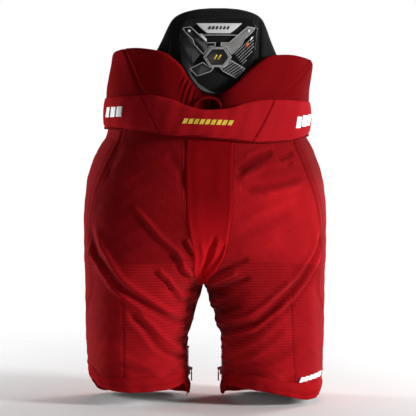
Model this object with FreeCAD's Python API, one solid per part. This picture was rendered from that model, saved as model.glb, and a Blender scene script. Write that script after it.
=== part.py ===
import FreeCAD, Part
import math
import os

# Padded ice-hockey pants, senior size, standing on their two leg hems.
# Millimetres. +X is the wearer's right, +Y the wearer's front and +Z up. The origin lies on the
# floor, midway between the legs. Each sub-part is written to parts/NAME.step.

V = FreeCAD.Vector

# ---------------------------------------------------------------- driving dimensions
hem_height = 12.0          # bound edge that the pants stand on
leg_top = 205.0            # top of the leg shell, just under the crotch
crotch = 209.0             # lowest point between the legs, on the outside
saddle_top = 300.0         # height where the seat starts to part into two legs
saddle_roundness = 2.1
fold_high = 299.5          # upper edge of the flexible hip fold at the back and sides
shell_top = 500.0          # shell edge, sewn in behind the belt
cloth = 3.0                # bonded shell fabric with its backing
gap = 0.4                  # air between neighbouring pieces
hip_axis_y = 15.0          # legs swing about this line
hip_axis_z = 285.0

# Outline of the shell as (height, value): half width, reach to the back, reach to the front
# and roundness, where 2 is an ellipse and more is squarer.
hip_half_width = [(209, 213), (268, 216), (322, 217), (358, 216), (394, 212), (421, 205),
                  (448, 195), (462, 187), (472, 180.5), (485, 177.5), (505, 176)]
hip_back = [(209, 128), (250, 140), (300, 146), (358, 143), (421, 133), (448, 128),
            (466, 123), (485, 119), (505, 117)]
hip_front = [(209, 138), (250, 142), (300, 142), (358, 138), (421, 132), (448, 129),
             (466, 124.5), (485, 120), (505, 117)]
hip_roundness = [(209, 4.0), (262, 3.3), (300, 3.0), (358, 2.7), (421, 2.3), (466, 2.05), (505, 2.0)]
leg_outer = [(0, 204), (20, 209), (50, 211), (106, 212), (150, 213), (209, 213), (268, 216)]
leg_inner = [(0, 31), (112, 31), (130, 25), (148, 20), (162, 16.5), (176, 12.5), (191, 6.5), (205, 3.5),
             (209, 2.5), (268, 2.5)]
leg_back = [(0, 104), (50, 108), (106, 112), (150, 118), (209, 128), (268, 140)]
leg_front = [(0, 114), (50, 118), (106, 124), (150, 130), (209, 138), (268, 142)]
leg_roundness = 2.3

# Upper edge of the hip fold, as (degrees round from the back, height): high at the groin.
fold_top = [(0, 299.5), (98, 299.5), (112, 337), (126, 372), (180, 376)]

# Seams on the shell, as (height, distance from the middle plane).
gusset_edge = [(209, 2.6), (219, 3.2), (230, 10), (243, 20), (304, 36), (470, 43), (505, 44)]
seat_edge = [(300, 203), (358, 196), (421, 173), (475, 151), (505, 147)]
fly_edge = [(209, 2.2), (232, 2.9), (246, 9), (262, 18), (280, 20), (505, 20)]
front_seam_angle = 125.0   # side seam at the front, in degrees round from the back
leg_seam_angle = 15.0      # seam down the back of the leg
zip_angle = 8.0            # half of the zip's share of the leg, in degrees

# Waist layers as half axes (X, Y) of ellipses, from the wearer outwards.
band_inner = (158.0, 104.0)
band_outer = (165.7, 111.7)
kidney_outer = (178.0, 124.0)
belt_inner = (181.0, 129.0)
belt_outer = (188.0, 136.0)
spine_outer = (157.0, 103.0)
band_low, band_high = 466.0, 505.0
kidney_low = 503.0

# Top edge of the kidney pads and both edges of the belt, as (degrees round from the back, height).
kidney_top = [(5, 540), (10, 552), (20.6, 571), (28, 592), (35, 607), (42, 617), (50, 622), (61, 624),
              (69, 622), (78, 617), (90, 610), (108, 592), (125, 565), (140, 552)]
belt_top = [(0, 524), (12, 527), (22, 535), (32, 541), (45, 546), (90, 547), (130, 538), (152, 528)]
belt_bottom = [(0, 466), (30, 467), (60, 471), (90, 475), (130, 478), (152, 482)]
belt_seam_low, belt_seam_high = 34.0, 49.0
belt_end_angle = 152.0
kidney_start, kidney_end = 5.6, 138.0

# Spine guard.
spine_low, spine_high = 528.0, 701.0
spine_half_width = [(528, 88), (560, 112), (600, 119), (623, 108), (652, 95), (668, 88), (684, 82),
                    (694, 72), (701, 54)]
spine_thickness = 20.0
spine_axis_y, spine_axis_z = -93.0, 520.0
plate_centre_z = 616.0

# Leg zip, and the buckle at the front of the belt.
zip_y = 5.0
zip_face = 32.0            # outer face of the zip tape, from the middle plane
tooth_pitch = 4.0
zip_top = 92.0
slider_low = 44.0
slider_length = 14.0
strap_z = 505.0
strap_half = 12.5
strap_y = 126.8
strap_thick = 1.6

made = {}


# ---------------------------------------------------------------- profiles
def smooth(knots, t):
    # Monotone cubic curve through the knots, level past its ends.
    xs = [k[0] for k in knots]
    ys = [k[1] for k in knots]
    if t <= xs[0]:
        return float(ys[0])
    if t >= xs[-1]:
        return float(ys[-1])
    steps = [(ys[i + 1] - ys[i]) / (xs[i + 1] - xs[i]) for i in range(len(xs) - 1)]
    slopes = [steps[0]]
    for left, right in zip(steps, steps[1:]):
        slopes.append(0.0 if left * right <= 0 else 2 * left * right / (left + right))
    slopes.append(steps[-1])
    i = max(k for k in range(len(xs) - 1) if xs[k] <= t)
    h = xs[i + 1] - xs[i]
    s = (t - xs[i]) / h
    rise = ys[i] * (1 + 2 * s) * (1 - s) ** 2 + ys[i + 1] * s * s * (3 - 2 * s)
    return rise + h * (slopes[i] * s * (1 - s) ** 2 - slopes[i + 1] * s * s * (1 - s))


def oval_radius(angle, a, b, n):
    # Distance from the centre to a squared-off ellipse, angle measured from the back.
    s, c = abs(math.sin(angle)), abs(math.cos(angle))
    return ((s / a) ** n + (c / b) ** n) ** (-1.0 / n)


def ease(t):
    t = min(1.0, max(0.0, t))
    return t * t * (3 - 2 * t)


def hip_point(degrees, z, depth):
    # A point of the shell round the hips, depth millimetres in from the outer face.
    a = smooth(hip_half_width, z) - depth
    back, front = smooth(hip_back, z), smooth(hip_front, z)
    b = (front + back) / 2 - depth
    middle = (front - back) / 2
    angle = math.radians(degrees)
    r = oval_radius(angle, a, b, smooth(hip_roundness, z))
    x, y = r * math.sin(angle), -r * math.cos(angle)
    if z >= saddle_top:
        return V(x, y + middle, z)
    # Below the saddle's top the outline parts into the ovals of the two legs.
    outer, inner = smooth(leg_outer, z), smooth(leg_inner, z)
    centre, half, n = (outer + inner) / 2, (outer - inner) / 2 - depth, leg_roundness
    fall = min(0.99999, (saddle_top - z) / (saddle_top - crotch - depth))
    tuck = 1 - (1 - fall ** saddle_roundness) ** (1 / saddle_roundness)
    share = between(tuck, ease(fall), ease((abs(x) - 50) / 60))
    side = abs(x) - centre
    if side > 0:
        turn = math.atan2(side, abs(y))
        grow = between(1.0, oval_radius(turn, half, b, n) / math.hypot(side, y), share)
        x = math.copysign(centre + side * grow, x)
        y *= grow
    else:
        leg_y = b * max(0.0, 1 - min(1.0, -side / half) ** n) ** (1 / n)
        y = between(y, math.copysign(leg_y, y), share)
    return V(x, y + middle, z)


def hip_angle(x, z):
    # Degrees round from the back at which the shell is x from the middle plane.
    a = smooth(hip_half_width, z)
    b = (smooth(hip_front, z) + smooth(hip_back, z)) / 2
    n = smooth(hip_roundness, z)
    return math.degrees(math.atan2(x, b * (1 - min(x / a, 0.9999) ** n) ** (1 / n)))


def leg_point(degrees, z, depth):
    # A point of the right leg's shell; the inner side of the leg is at 270 degrees.
    outer, inner = smooth(leg_outer, z), smooth(leg_inner, z)
    back, front = smooth(leg_back, z), smooth(leg_front, z)
    angle = math.radians(degrees)
    r = oval_radius(angle, (outer - inner) / 2 - depth, (front + back) / 2 - depth, leg_roundness)
    x = (outer + inner) / 2 + r * math.sin(angle)
    return V(x, (front - back) / 2 - r * math.cos(angle), z)


def waist_point(degrees, z, axes, depth):
    # A point on one of the waist's upright elliptic layers.
    angle = math.radians(degrees)
    r = oval_radius(angle, axes[0] - depth, axes[1] - depth, 2)
    return V(r * math.sin(angle), -r * math.cos(angle), z)


def spine_point(x, z, height):
    # A point height millimetres outside the spine pad's outer face.
    a, b = spine_outer[0] + height, spine_outer[1] + height
    return V(x, -b * math.sqrt(1 - (x / a) ** 2), z)


def between(low, high, share):
    return low + (high - low) * share


# ---------------------------------------------------------------- solids
def solid_of(faces):
    shell = Part.makeShell(faces)
    shell.sewShape()
    solid = Part.makeSolid(shell)
    if solid.Volume < 0:
        solid.reverse()
    if not solid.isValid():
        solid.fix(1e-4, 1e-4, 1e-4)
    return solid


def pole_shares(spans):
    # Where the poles of an evenly knotted cubic sit, from 0 to 1.
    knots = [0] * 4 + list(range(1, spans)) + [spans] * 4
    return [sum(knots[i + 1:i + 4]) / 3 / spans for i in range(spans + 3)]


def patch(surface, depth_out, depth_in, across=6, up=6):
    # Closed solid between two depths of surface(u, v, depth), with u and v from 0 to 1.
    across, up = 2 * across, 2 * up
    skins = []
    for depth in (depth_out, depth_in):
        poles = [[surface(u, v, depth) for v in pole_shares(up)] for u in pole_shares(across)]
        skin = Part.BSplineSurface()
        skin.buildFromPolesMultsKnots(
            poles, [4] + [1] * (across - 1) + [4], [4] + [1] * (up - 1) + [4],
            list(range(across + 1)), list(range(up + 1)), False, False, 3, 3)
        skins.append(skin)
    faces = [skin.toShape() for skin in skins]
    bounds = [skin.bounds() for skin in skins]
    for end in (0, 1):
        edges = [skin.uIso(b[end]).toShape() for skin, b in zip(skins, bounds)]
        faces.append(Part.makeRuledSurface(*edges))
    for end in (2, 3):
        edges = [skin.vIso(b[end]).toShape() for skin, b in zip(skins, bounds)]
        faces.append(Part.makeRuledSurface(*edges))
    return solid_of(faces)


def box(x0, x1, y0, y1, z0, z1):
    return Part.makeBox(x1 - x0, y1 - y0, z1 - z0, V(x0, y0, z0))


def rod(radius, start, along, length):
    return Part.makeCylinder(radius, length, start, along)


def ellipse_prism(axes, low, high, centre=(0.0, 0.0)):
    # Ellipse in the floor plane, raised from low to high.
    a, b = axes
    major, minor = (a, b) if a >= b else (b, a)
    curve = Part.Ellipse(V(0, 0, 0), major, minor)
    face = Part.Face(Part.Wire(curve.toShape()))
    if a < b:
        face.rotate(V(0, 0, 0), V(0, 0, 1), 90)
    face.translate(V(centre[0], centre[1], low))
    return face.extrude(V(0, 0, high - low))


def outline_prism(points, y0, y1):
    # Flat outline in X and Z, given depth along Y.
    corners = [V(x, y0, z) for x, z in points]
    wire = Part.makePolygon(corners + corners[:1])
    return Part.Face(wire).extrude(V(0, y1 - y0, 0))


def keep(name, *solids):
    made[name] = Part.makeCompound(list(solids)) if len(solids) > 1 else solids[0]


def mirrored(shape):
    copy = shape.mirror(V(0, 0, 0), V(1, 0, 0))
    if copy.Volume < 0:
        copy.reverse()
    return copy


def keep_pair(name, *solids):
    # The right-hand piece as given, and its mirror image for the left.
    keep("right_" + name, *solids)
    keep("left_" + name, *[mirrored(s) for s in solids])


def keep_both(name, solid):
    # One sub-part that holds the right-hand piece and its mirror image.
    keep(name, solid, mirrored(solid))


# ---------------------------------------------------------------- shell of the hips
def hip_panel(low_angle, high_angle, z_low, z_high, depth_out, depth_in, across=6, up=8):
    # low_angle and high_angle give degrees round from the back at a height, and z_low may be
    # a function of those degrees.
    def surface(u, v, depth):
        z = z_high
        for _ in range(8):
            degrees = between(low_angle(z), high_angle(z), u)
            z = between(z_low(degrees) if callable(z_low) else z_low, z_high, v)
        return hip_point(degrees, z, depth)
    return patch(surface, depth_out, depth_in, across, up)


def saddle_height(v, depth, top, x):
    # Heights from the crotch to the top, close together where the saddle curves under.
    split = 150 / (150 + max(0.0, top - saddle_top))
    fall = math.cos(math.radians(90 * min(1.0, v / split))) ** (2 / saddle_roundness)
    curved = saddle_top - (saddle_top - crotch - depth) * fall
    if v > split:
        curved = between(saddle_top, top, (v - split) / (1 - split))
    return min(top, between(curved, between(crotch + depth, top, v), ease((abs(x) - 15) / 90)))


def saddle_panel(low_angle, high_angle, top, across, up, ends=0.0):
    # Panel from the crotch up; ends from 0 to 1 crowds the sides of its grid.
    def surface(u, v, depth):
        u = between(u, 0.5 - 0.5 * math.cos(math.pi * u), ends)
        z = saddle_top
        for _ in range(8):
            degrees = between(low_angle(z), high_angle(z), u)
            z = saddle_height(v, depth, top(degrees), hip_point(degrees, z, 0).x)
        return hip_point(degrees, z, depth)
    return patch(surface, 0, cloth, across, up)


def seam_angle(edge, z, offset):
    return hip_angle(smooth(edge, z) + offset, z)


def make_hip_shell():
    def gusset(z):
        return seam_angle(gusset_edge, z, gap)

    def seat_inside(z):
        return seam_angle(seat_edge, z, -gap / 2)

    def seat_outside(z):
        return seam_angle(seat_edge, z, gap)

    def fly(z):
        return 180 - seam_angle(fly_edge, z, gap / 2)

    def fold_edge(degrees):
        return smooth(fold_top, degrees)

    def above_fold(degrees):
        # A wider gap where the fold's edge climbs to the groin.
        return smooth(fold_top, degrees) + between(gap, 2.2, ease((degrees - 88) / 8))

    seam = front_seam_angle
    keep_pair("seat_panel", hip_panel(gusset, seat_inside, above_fold, shell_top, 0, cloth, 6, 10))
    keep_pair("side_panel", hip_panel(seat_outside, lambda z: seam - 0.1, above_fold, shell_top,
                                      0, cloth, 10, 10))
    keep_pair("front_panel", hip_panel(lambda z: seam + 0.1, fly, above_fold, shell_top, 0, cloth, 5, 8))
    keep_pair("hip_fold", saddle_panel(gusset, fly, fold_edge, 18, 8, 0.7))


def make_gusset_and_fly():
    def rear(z):
        return seam_angle(gusset_edge, z, -gap)

    def fly(z):
        return seam_angle(fly_edge, z, -gap / 2)

    def flap(u, v, depth):
        z = between(328, 448, v)
        edge = seam_angle(fly_edge, z, 3)
        return hip_point(180 + between(-edge, edge, u), z, depth)

    def top(degrees):
        return shell_top

    keep("rear_gusset", saddle_panel(lambda z: -rear(z), rear, top, 3, 12))
    keep("fly_placket", saddle_panel(lambda z: 180 - fly(z), lambda z: 180 + fly(z), top, 3, 12))
    keep("fly_flap", patch(flap, -3.2, -1.0, 4, 6))


# ---------------------------------------------------------------- shell of the legs
def leg_panel(a0, a1, z_low, z_high, depth_out, depth_in, across=6, up=6, drop=lambda z: 0.0):
    def surface(u, v, depth):
        z = between(z_low, z_high, v)
        return leg_point(between(a0, a1, u), z, depth + drop(z))
    return patch(surface, depth_out, depth_in, across, up)


def hem_ring(depth_out, depth_in):
    z = hem_height / 2
    outer, inner = smooth(leg_outer, z), smooth(leg_inner, z)
    back, front = smooth(leg_back, z), smooth(leg_front, z)
    a, b = (outer - inner) / 2, (front + back) / 2
    centre = ((outer + inner) / 2, (front - back) / 2)
    ring = ellipse_prism((a - depth_out, b - depth_out), 0, hem_height, centre)
    ring = ring.cut(ellipse_prism((a - depth_in, b - depth_in), -1, hem_height + 1, centre))
    reach = 13.0
    return ring.cut(box(inner - 10, inner + 14, zip_y - reach, zip_y + reach, -1, hem_height + 1))


def make_leg_shell():
    low = hem_height + gap
    edge = 0.12
    seam = leg_seam_angle
    keep_pair("leg_back_panel", leg_panel(zip_angle - 90, seam - edge, low, leg_top, 0, cloth, 8, 8))
    keep_pair("leg_side_panel", leg_panel(seam + edge, front_seam_angle - edge, low, leg_top, 0, cloth, 8, 6))
    keep_pair("leg_front_panel", leg_panel(front_seam_angle + edge, 270 - zip_angle, low, leg_top,
                                           0, cloth, 10, 8))
    keep_pair("hem_binding", hem_ring(-0.8, cloth + 1.2))


def guard_drop(z):
    # The thigh guard leans in at its top, clear of the hip fold.
    s = min(1.0, max(0.0, (z - 185) / 70.0))
    return 9.0 * s * s * (3 - 2 * s)


def make_leg_pads():
    keep_pair("thigh_guard_shell", leg_panel(132, 222, 20, 250, 4, 7, 6, 8, guard_drop))
    front_foam = leg_panel(134, 220, 24, 246, 7.4, 17, 6, 8, guard_drop)
    back_foam = leg_panel(-48, 12, 34, 186, 4, 11, 5, 5)
    keep_pair("thigh_foam", front_foam, back_foam)
    lining = [leg_panel(a, a + 163, 10, 198, 18.5, 20, 10, 6) for a in (-81, 83)]
    keep_pair("leg_lining", *lining)


def make_zip():
    def tape(u, v, depth):
        z = between(2, leg_top, v)
        reach = smooth(leg_inner, z) + (zip_face - smooth(leg_inner, 0))
        return V(reach + depth, zip_y + between(-10.5, 10.5, u), z)

    keep_pair("zip_tape", patch(tape, 0, 1.2, 3, 10))
    teeth = []
    z = 20.0
    while z < zip_top - 3:
        teeth.append(box(zip_face - 2.6, zip_face, zip_y - 2.6, zip_y + 2.6, z, z + 0.65 * tooth_pitch))
        z += tooth_pitch
    stops = [box(zip_face - 3.4, zip_face, zip_y - 4, zip_y + 4, low, low + 3.5) for low in (14.5, zip_top)]
    keep_pair("zip_teeth", *(teeth + stops))


def make_slider():
    top = slider_low + slider_length
    face = zip_face - 3.1
    body = box(face - 2.3, face, zip_y - 5.5, zip_y + 5.5, slider_low, top)
    for low, high in ((-5.5, -3.1), (3.1, 5.5)):
        body = body.fuse(box(face - 2.3, zip_face - 0.4, zip_y + low, zip_y + high, slider_low, top))
    ring_x, ring_z = face - 4.6, top - 3.5
    for low, high in ((-4.6, -3.2), (3.2, 4.6)):
        ear = box(ring_x - 1.6, face - 2.3, zip_y + low, zip_y + high, ring_z - 2.2, ring_z + 2.2)
        body = body.fuse(ear)
    bar = rod(1.0, V(ring_x, zip_y - 4.6, ring_z), V(0, 1, 0), 9.2)
    keep_pair("zip_slider", body.fuse(bar).removeSplitter())
    head = rod(1.9, V(ring_x, zip_y - 2.8, ring_z), V(0, 1, 0), 5.6)
    tab = box(ring_x - 0.8, ring_x + 0.8, zip_y - 2.8, zip_y + 2.8, ring_z - 15, ring_z)
    grip = box(ring_x - 1.2, ring_x + 1.2, zip_y - 3.6, zip_y + 3.6, ring_z - 22, ring_z - 7)
    eye = rod(1.06, V(ring_x, zip_y - 4, ring_z), V(0, 1, 0), 8)
    keep_pair("zip_pull", head.fuse(tab).fuse(grip).cut(eye).removeSplitter())


# ---------------------------------------------------------------- pads round the hips
def make_hip_pads():
    def fixed(value):
        return lambda z: value

    def narrow(z):
        # The hip pad stays within 55 mm of the leg's swing line, front and back.
        return 90 - math.degrees(math.asin(50 / 205.0))

    def wide(z):
        return 90 + math.degrees(math.asin(62 / 205.0))

    keep_both("hip_guard_shell", hip_panel(narrow, wide, 242, 432, 4, 7, 5, 8))
    keep_both("hip_guard_foam", hip_panel(lambda z: narrow(z) + 1, lambda z: wide(z) - 1, 245, 428,
                                          7.4, 17, 5, 8))
    keep_both("seat_pads", hip_panel(fixed(31), fixed(56), 312, 440, 4, 12, 5, 6))
    keep("tailbone_guard_shell", hip_panel(fixed(-25), fixed(25), 306, 446, 4, 7, 6, 6))
    keep("tailbone_guard_foam", hip_panel(fixed(-24), fixed(24), 310, 442, 7.4, 17, 6, 6))
    keep_both("seat_lining", hip_panel(fixed(0.2), fixed(104), fold_high + 2, band_low - 2, 18.5, 20, 10, 6))


# ---------------------------------------------------------------- waist
def waist_panel(axes, a0, a1, bottom, top, depth_out, depth_in, across=8, up=4):
    # a0 and a1 are (angle at the bottom, angle at the top); bottom and top give heights at an angle.
    def surface(u, v, depth):
        degrees = between(between(a0[0], a1[0], u), between(a0[1], a1[1], u), v)
        return waist_point(degrees, between(bottom(abs(degrees)), top(abs(degrees)), v), axes, depth)
    return patch(surface, depth_out, depth_in, across, up)


def make_belt():
    def bottom(degrees):
        return smooth(belt_bottom, degrees)

    def top(degrees):
        return smooth(belt_top, degrees)

    thick = belt_outer[0] - belt_inner[0]
    edge = 0.1
    low, high = belt_seam_low, belt_seam_high
    keep("belt_back", waist_panel(belt_outer, (-low + edge, -high + edge), (low - edge, high - edge),
                                  bottom, top, 0, thick, 14, 4))
    keep_pair("belt_side", waist_panel(belt_outer, (low + edge, high + edge), (belt_end_angle,) * 2,
                                       bottom, top, 0, thick, 14, 4))
    ring = ellipse_prism(band_outer, band_low, band_high)
    ring = ring.cut(ellipse_prism(band_inner, band_low - 1, band_high + 1))
    half = 16.0
    keep("waistband", ring.cut(box(-half, half, 0, 200, band_low - 1, band_high + 1)))


def make_kidney_pads():
    def layer(inset, depth_out, depth_in, low):
        start, end = kidney_start + inset * 0.5, kidney_end - inset * 0.5

        def top(degrees):
            return smooth(kidney_top, degrees) - inset
        return waist_panel(kidney_outer, (start, start), (end, end), lambda d: low, top,
                           depth_out, depth_in, 18, 5)

    keep_pair("kidney_cover", layer(0, 0, 3, kidney_low))
    keep_both("kidney_plate", layer(8, 3.3, 5.7, kidney_low + 4))
    keep_both("kidney_foam", layer(2, 6, 12, kidney_low + 1))


# ---------------------------------------------------------------- spine guard
def spine_slice(height_in, height_out, half_width=118.0, low=534.0, high=699.0):
    # A curved slab that trims flat outlines to the guard's face.
    def surface(u, v, height):
        return spine_point(between(-half_width, half_width, u), between(low, high, v), height)
    return patch(surface, height_out, height_in, 6, 2)


def moulding(points, height_in, height_out):
    prism = outline_prism(points, -140, -60)
    return spine_slice(height_in, height_out).common(prism).Solids[0]


def hexagon(radius, squash=0.86):
    corners = [math.radians(60 * k) for k in range(6)]
    return [(radius * math.cos(a), plate_centre_z + radius * squash * math.sin(a)) for a in corners]


def make_spine_guard():
    def pad(u, v, height):
        z = between(spine_low, spine_high, v)
        return spine_point(between(-1, 1, u) * smooth(spine_half_width, z), z, height)

    keep("spine_pad", patch(pad, 0, -spine_thickness, 8, 12))
    plate = [(-60, 688), (60, 688), (68, 668), (62, 590), (44, 560), (-44, 560), (-62, 590), (-68, 668)]
    keep("spine_plate", moulding(plate, 0.3, 3.0))
    arm_up = [(14, 634), (31, 634), (58, 682), (64, 664), (54, 640), (40, 616), (24, 614)]
    arm_down = [(24, 612), (46, 598), (32, 582), (14, 592)]
    arms = []
    for outline in (arm_up, arm_down):
        for side in (1, -1):
            arms.append(moulding([(side * x, z) for x, z in outline], 3.3, 5.3))
    ring = moulding(hexagon(22), 3.3, 6.3).cut(outline_prism(hexagon(17), -140, -60))
    keep("spine_emblem", ring, moulding(hexagon(16.6), 3.3, 5.0))
    keep("spine_badge", moulding([(-42, 684), (42, 684), (20, 664), (-20, 664)], 3.3, 4.6))
    rivets = []
    for side in (1, -1):
        foot = spine_point(side * 52, 676, 5.5)
        rivets.append(rod(2.2, foot, V(0, -1, 0), 1.0))
    keep("spine_arms", *(arms + rivets))

    def elastic(u, v, depth):
        return waist_point(between(-16, 16, u), between(band_high + gap, spine_low - gap, v),
                           (150.0, 96.0), depth)
    keep("spine_elastic", patch(elastic, 0, 1.5, 4, 2))


def make_hang_loop():
    # Cord arch that stands just behind the belt's dipped top edge.
    radius, thick, base_z, y = 22.0, 1.9, 528.5, -126.6
    arc = Part.Arc(V(radius, y, base_z), V(0, y, base_z + 18), V(-radius, y, base_z))
    path = Part.Wire(arc.toShape())
    start = arc.tangent(arc.FirstParameter)[0]
    section = Part.Wire(Part.Circle(V(radius, y, base_z), start, thick).toShape())
    arch = path.makePipeShell([section], True, False)
    floor = box(-40, 40, y - 10, y + 10, base_z - 5, base_z)
    keep("hang_loop", arch.cut(floor))


# ---------------------------------------------------------------- front buckle
def make_buckle():
    z0, z1 = strap_z - strap_half, strap_z + strap_half
    back = strap_y
    front = strap_y + strap_thick
    straps = {1: box(-16, 96, back, front, z0, z1), -1: box(-84, -21, back, front, z0, z1)}
    for side, name in ((1, "right"), (-1, "left")):
        low, high = sorted((side * 62, side * 84))
        tab = box(low, high, 112, back - 0.4, z0 - 4, z1 + 4)
        clear_of_belt = (belt_outer[0] + gap, belt_outer[1] + gap)
        keep(name + "_strap", straps[side], tab.cut(ellipse_prism(clear_of_belt, 400, 600)))
    keeper = box(70, 80, back - 0.4 + 0.05, front + 3, z0 - 4, z1 + 4)
    keeper = keeper.cut(box(69, 81, back - 0.3, front + 0.6, z0 - 0.6, z1 + 0.6))
    keep("strap_keeper", keeper)
    ear_top = front + 8.5
    frame = box(-22, 16, back - 3.6, back - 0.6, z0 - 5, z1 + 5)
    for low, high in ((z0 - 5, z0 - 1.4), (z1 + 1.4, z1 + 5)):
        frame = frame.fuse(box(-22, 16, back - 3.6, ear_top, low, high))
    frame = frame.fuse(box(-22, -19, back - 3.6, back + 3.5, z0 - 5, z1 + 5))
    slot = box(-23, -18, back - 0.3, front + 0.3, z0 - 0.4, z1 + 0.4)
    pin_x, pin_y = -4.0, front + 4.6
    bore = rod(1.5, V(pin_x, pin_y, z0 - 6), V(0, 0, 1), z1 - z0 + 12)
    keep("buckle_frame", frame.cut(slot).cut(bore).removeSplitter())
    keep("buckle_pin", rod(1.46, V(pin_x, pin_y, z0 - 5), V(0, 0, 1), z1 - z0 + 10))
    barrel = rod(3.6, V(pin_x, pin_y, z0 - 0.9), V(0, 0, 1), z1 - z0 + 1.8)
    blade = box(pin_x, 26, pin_y - 1.2, pin_y + 2.4, z0 - 0.9, z1 + 0.9)
    lip = box(26, 29, pin_y - 1.2, pin_y + 5.0, z0 - 0.9, z1 + 0.9)
    lever = barrel.fuse(blade).fuse(lip).cut(rod(1.54, V(pin_x, pin_y, z0 - 6), V(0, 0, 1), 40))
    keep("buckle_lever", lever.removeSplitter())


# ---------------------------------------------------------------- build
make_hip_shell()
make_gusset_and_fly()
make_leg_shell()
make_leg_pads()
make_zip()
make_slider()
make_hip_pads()
make_belt()
make_kidney_pads()
make_spine_guard()
make_hang_loop()
make_buckle()

os.makedirs("parts", exist_ok=True)
for old in os.listdir("parts"):
    if old.endswith(".step") and old[:-5] not in made:
        os.remove(os.path.join("parts", old))
for name, shape in sorted(made.items()):
    shape.exportStep(os.path.join("parts", name + ".step"))
    b = shape.BoundBox
    print("%-24s %s %8.1f cm3  x %7.1f %7.1f  y %7.1f %7.1f  z %6.1f %6.1f" % (
        name, "ok " if shape.isValid() else "BAD", shape.Volume / 1000,
        b.XMin, b.XMax, b.YMin, b.YMax, b.ZMin, b.ZMax))
print(len(made), "nodes")
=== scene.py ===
import math

import bpy
import numpy as np
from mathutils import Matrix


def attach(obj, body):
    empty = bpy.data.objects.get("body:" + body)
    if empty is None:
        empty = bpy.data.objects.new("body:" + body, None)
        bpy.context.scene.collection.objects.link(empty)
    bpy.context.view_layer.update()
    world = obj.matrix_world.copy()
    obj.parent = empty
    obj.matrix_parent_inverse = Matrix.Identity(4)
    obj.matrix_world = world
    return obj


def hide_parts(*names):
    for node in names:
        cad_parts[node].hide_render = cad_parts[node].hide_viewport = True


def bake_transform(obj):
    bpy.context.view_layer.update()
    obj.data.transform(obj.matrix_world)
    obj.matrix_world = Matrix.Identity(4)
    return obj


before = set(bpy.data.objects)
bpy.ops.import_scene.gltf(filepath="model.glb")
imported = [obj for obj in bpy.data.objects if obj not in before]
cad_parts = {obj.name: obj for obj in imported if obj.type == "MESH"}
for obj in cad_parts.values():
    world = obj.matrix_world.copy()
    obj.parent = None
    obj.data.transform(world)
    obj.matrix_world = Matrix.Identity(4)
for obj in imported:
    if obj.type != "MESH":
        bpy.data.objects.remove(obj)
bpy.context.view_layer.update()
bpy.ops.object.select_all(action="DESELECT")
mm = 0.001


# camera first, level with the hips and square to the back
view = {"place": (0.0055, -3.70, 0.50), "aim": (0.0055, 0.0, 0.345), "lens": 178.0}
cameraData = bpy.data.cameras.new("studioCamera")
cameraData.lens = view["lens"]
cameraData.clip_end = 30
camera = bpy.data.objects.new("studioCamera", cameraData)
bpy.context.scene.collection.objects.link(camera)
camera.location = view["place"]
rise = view["aim"][2] - view["place"][2]
camera.rotation_euler = (math.pi / 2 + math.atan2(rise, -view["place"][1]), 0, 0)
bpy.context.scene.camera = camera
print("camera ready")


# number helpers, all on numpy arrays, lengths in millimetres
def smooth(knots, t):
    xs = np.array([k[0] for k in knots], float)
    ys = np.array([k[1] for k in knots], float)
    t = np.clip(np.asarray(t, float), xs[0], xs[-1])
    step = np.diff(ys) / np.diff(xs)
    slope = np.zeros(len(xs))
    slope[0], slope[-1] = step[0], step[-1]
    if len(step) > 1:
        both = step[:-1] * step[1:]
        total = step[:-1] + step[1:]
        slope[1:-1] = np.where(both > 0, 2 * both / np.where(total == 0, 1, total), 0)
    i = np.clip(np.searchsorted(xs, t, side="right") - 1, 0, len(xs) - 2)
    h = xs[i + 1] - xs[i]
    s = (t - xs[i]) / h
    value = ys[i] * (1 + 2 * s) * (1 - s) ** 2 + ys[i + 1] * s * s * (3 - 2 * s)
    return value + h * (slope[i] * s * (1 - s) ** 2 - slope[i + 1] * s * s * (1 - s))


def ease(t):
    t = np.clip(t, 0, 1)
    return t * t * (3 - 2 * t)


def mix(low, high, share):
    return low + (high - low) * share


def ovalRadius(angle, a, b, n):
    s, c = np.abs(np.sin(angle)), np.abs(np.cos(angle))
    return ((s / a) ** n + (c / b) ** n) ** (-1.0 / n)


sideWord = {-1: "left", 1: "right"}

# the outline of the pants, (height, value)
hips = {
    "halfWidth": [(209, 213), (268, 216), (322, 217), (358, 216), (394, 212), (421, 205), (448, 195),
                  (462, 187), (472, 180.5), (485, 177.5), (505, 176)],
    "back": [(209, 128), (250, 140), (300, 146), (358, 143), (421, 133), (448, 128), (466, 123),
             (485, 119), (505, 117)],
    "front": [(209, 138), (250, 142), (300, 142), (358, 138), (421, 132), (448, 129), (466, 124.5),
              (485, 120), (505, 117)],
    "roundness": [(209, 4.0), (262, 3.3), (300, 3.0), (358, 2.7), (421, 2.3), (466, 2.05), (505, 2.0)],
    "crotch": 209.0, "saddleTop": 300.0, "saddleRound": 2.1, "top": 498.0,
}
legs = {
    "outer": [(0, 204), (20, 209), (50, 211), (106, 213), (150, 215), (209, 215.5), (268, 217)],
    "inner": [(0, 31), (112, 31), (130, 25), (148, 20), (162, 16.5), (176, 12.5), (191, 6.5),
              (205, 3.5), (209, 2.5), (268, 2.5)],
    "back": [(0, 104), (50, 108), (106, 112), (150, 118), (209, 128), (268, 140)],
    "front": [(0, 114), (50, 118), (106, 124), (150, 130), (209, 138), (268, 142)],
    "roundness": 2.3,
}
seams = {
    "gusset": [(209, 3), (216, 6), (226, 11), (241, 19), (304, 34), (346, 40), (470, 43), (505, 44)],
    "seat": [(209, 205), (300, 203), (358, 196), (421, 173), (475, 151), (505, 147)],
    "fly": [(209, 3), (216, 6), (232, 13), (246, 18), (262, 20), (505, 20)],
    "frontAngle": 125.0,
}


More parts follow.
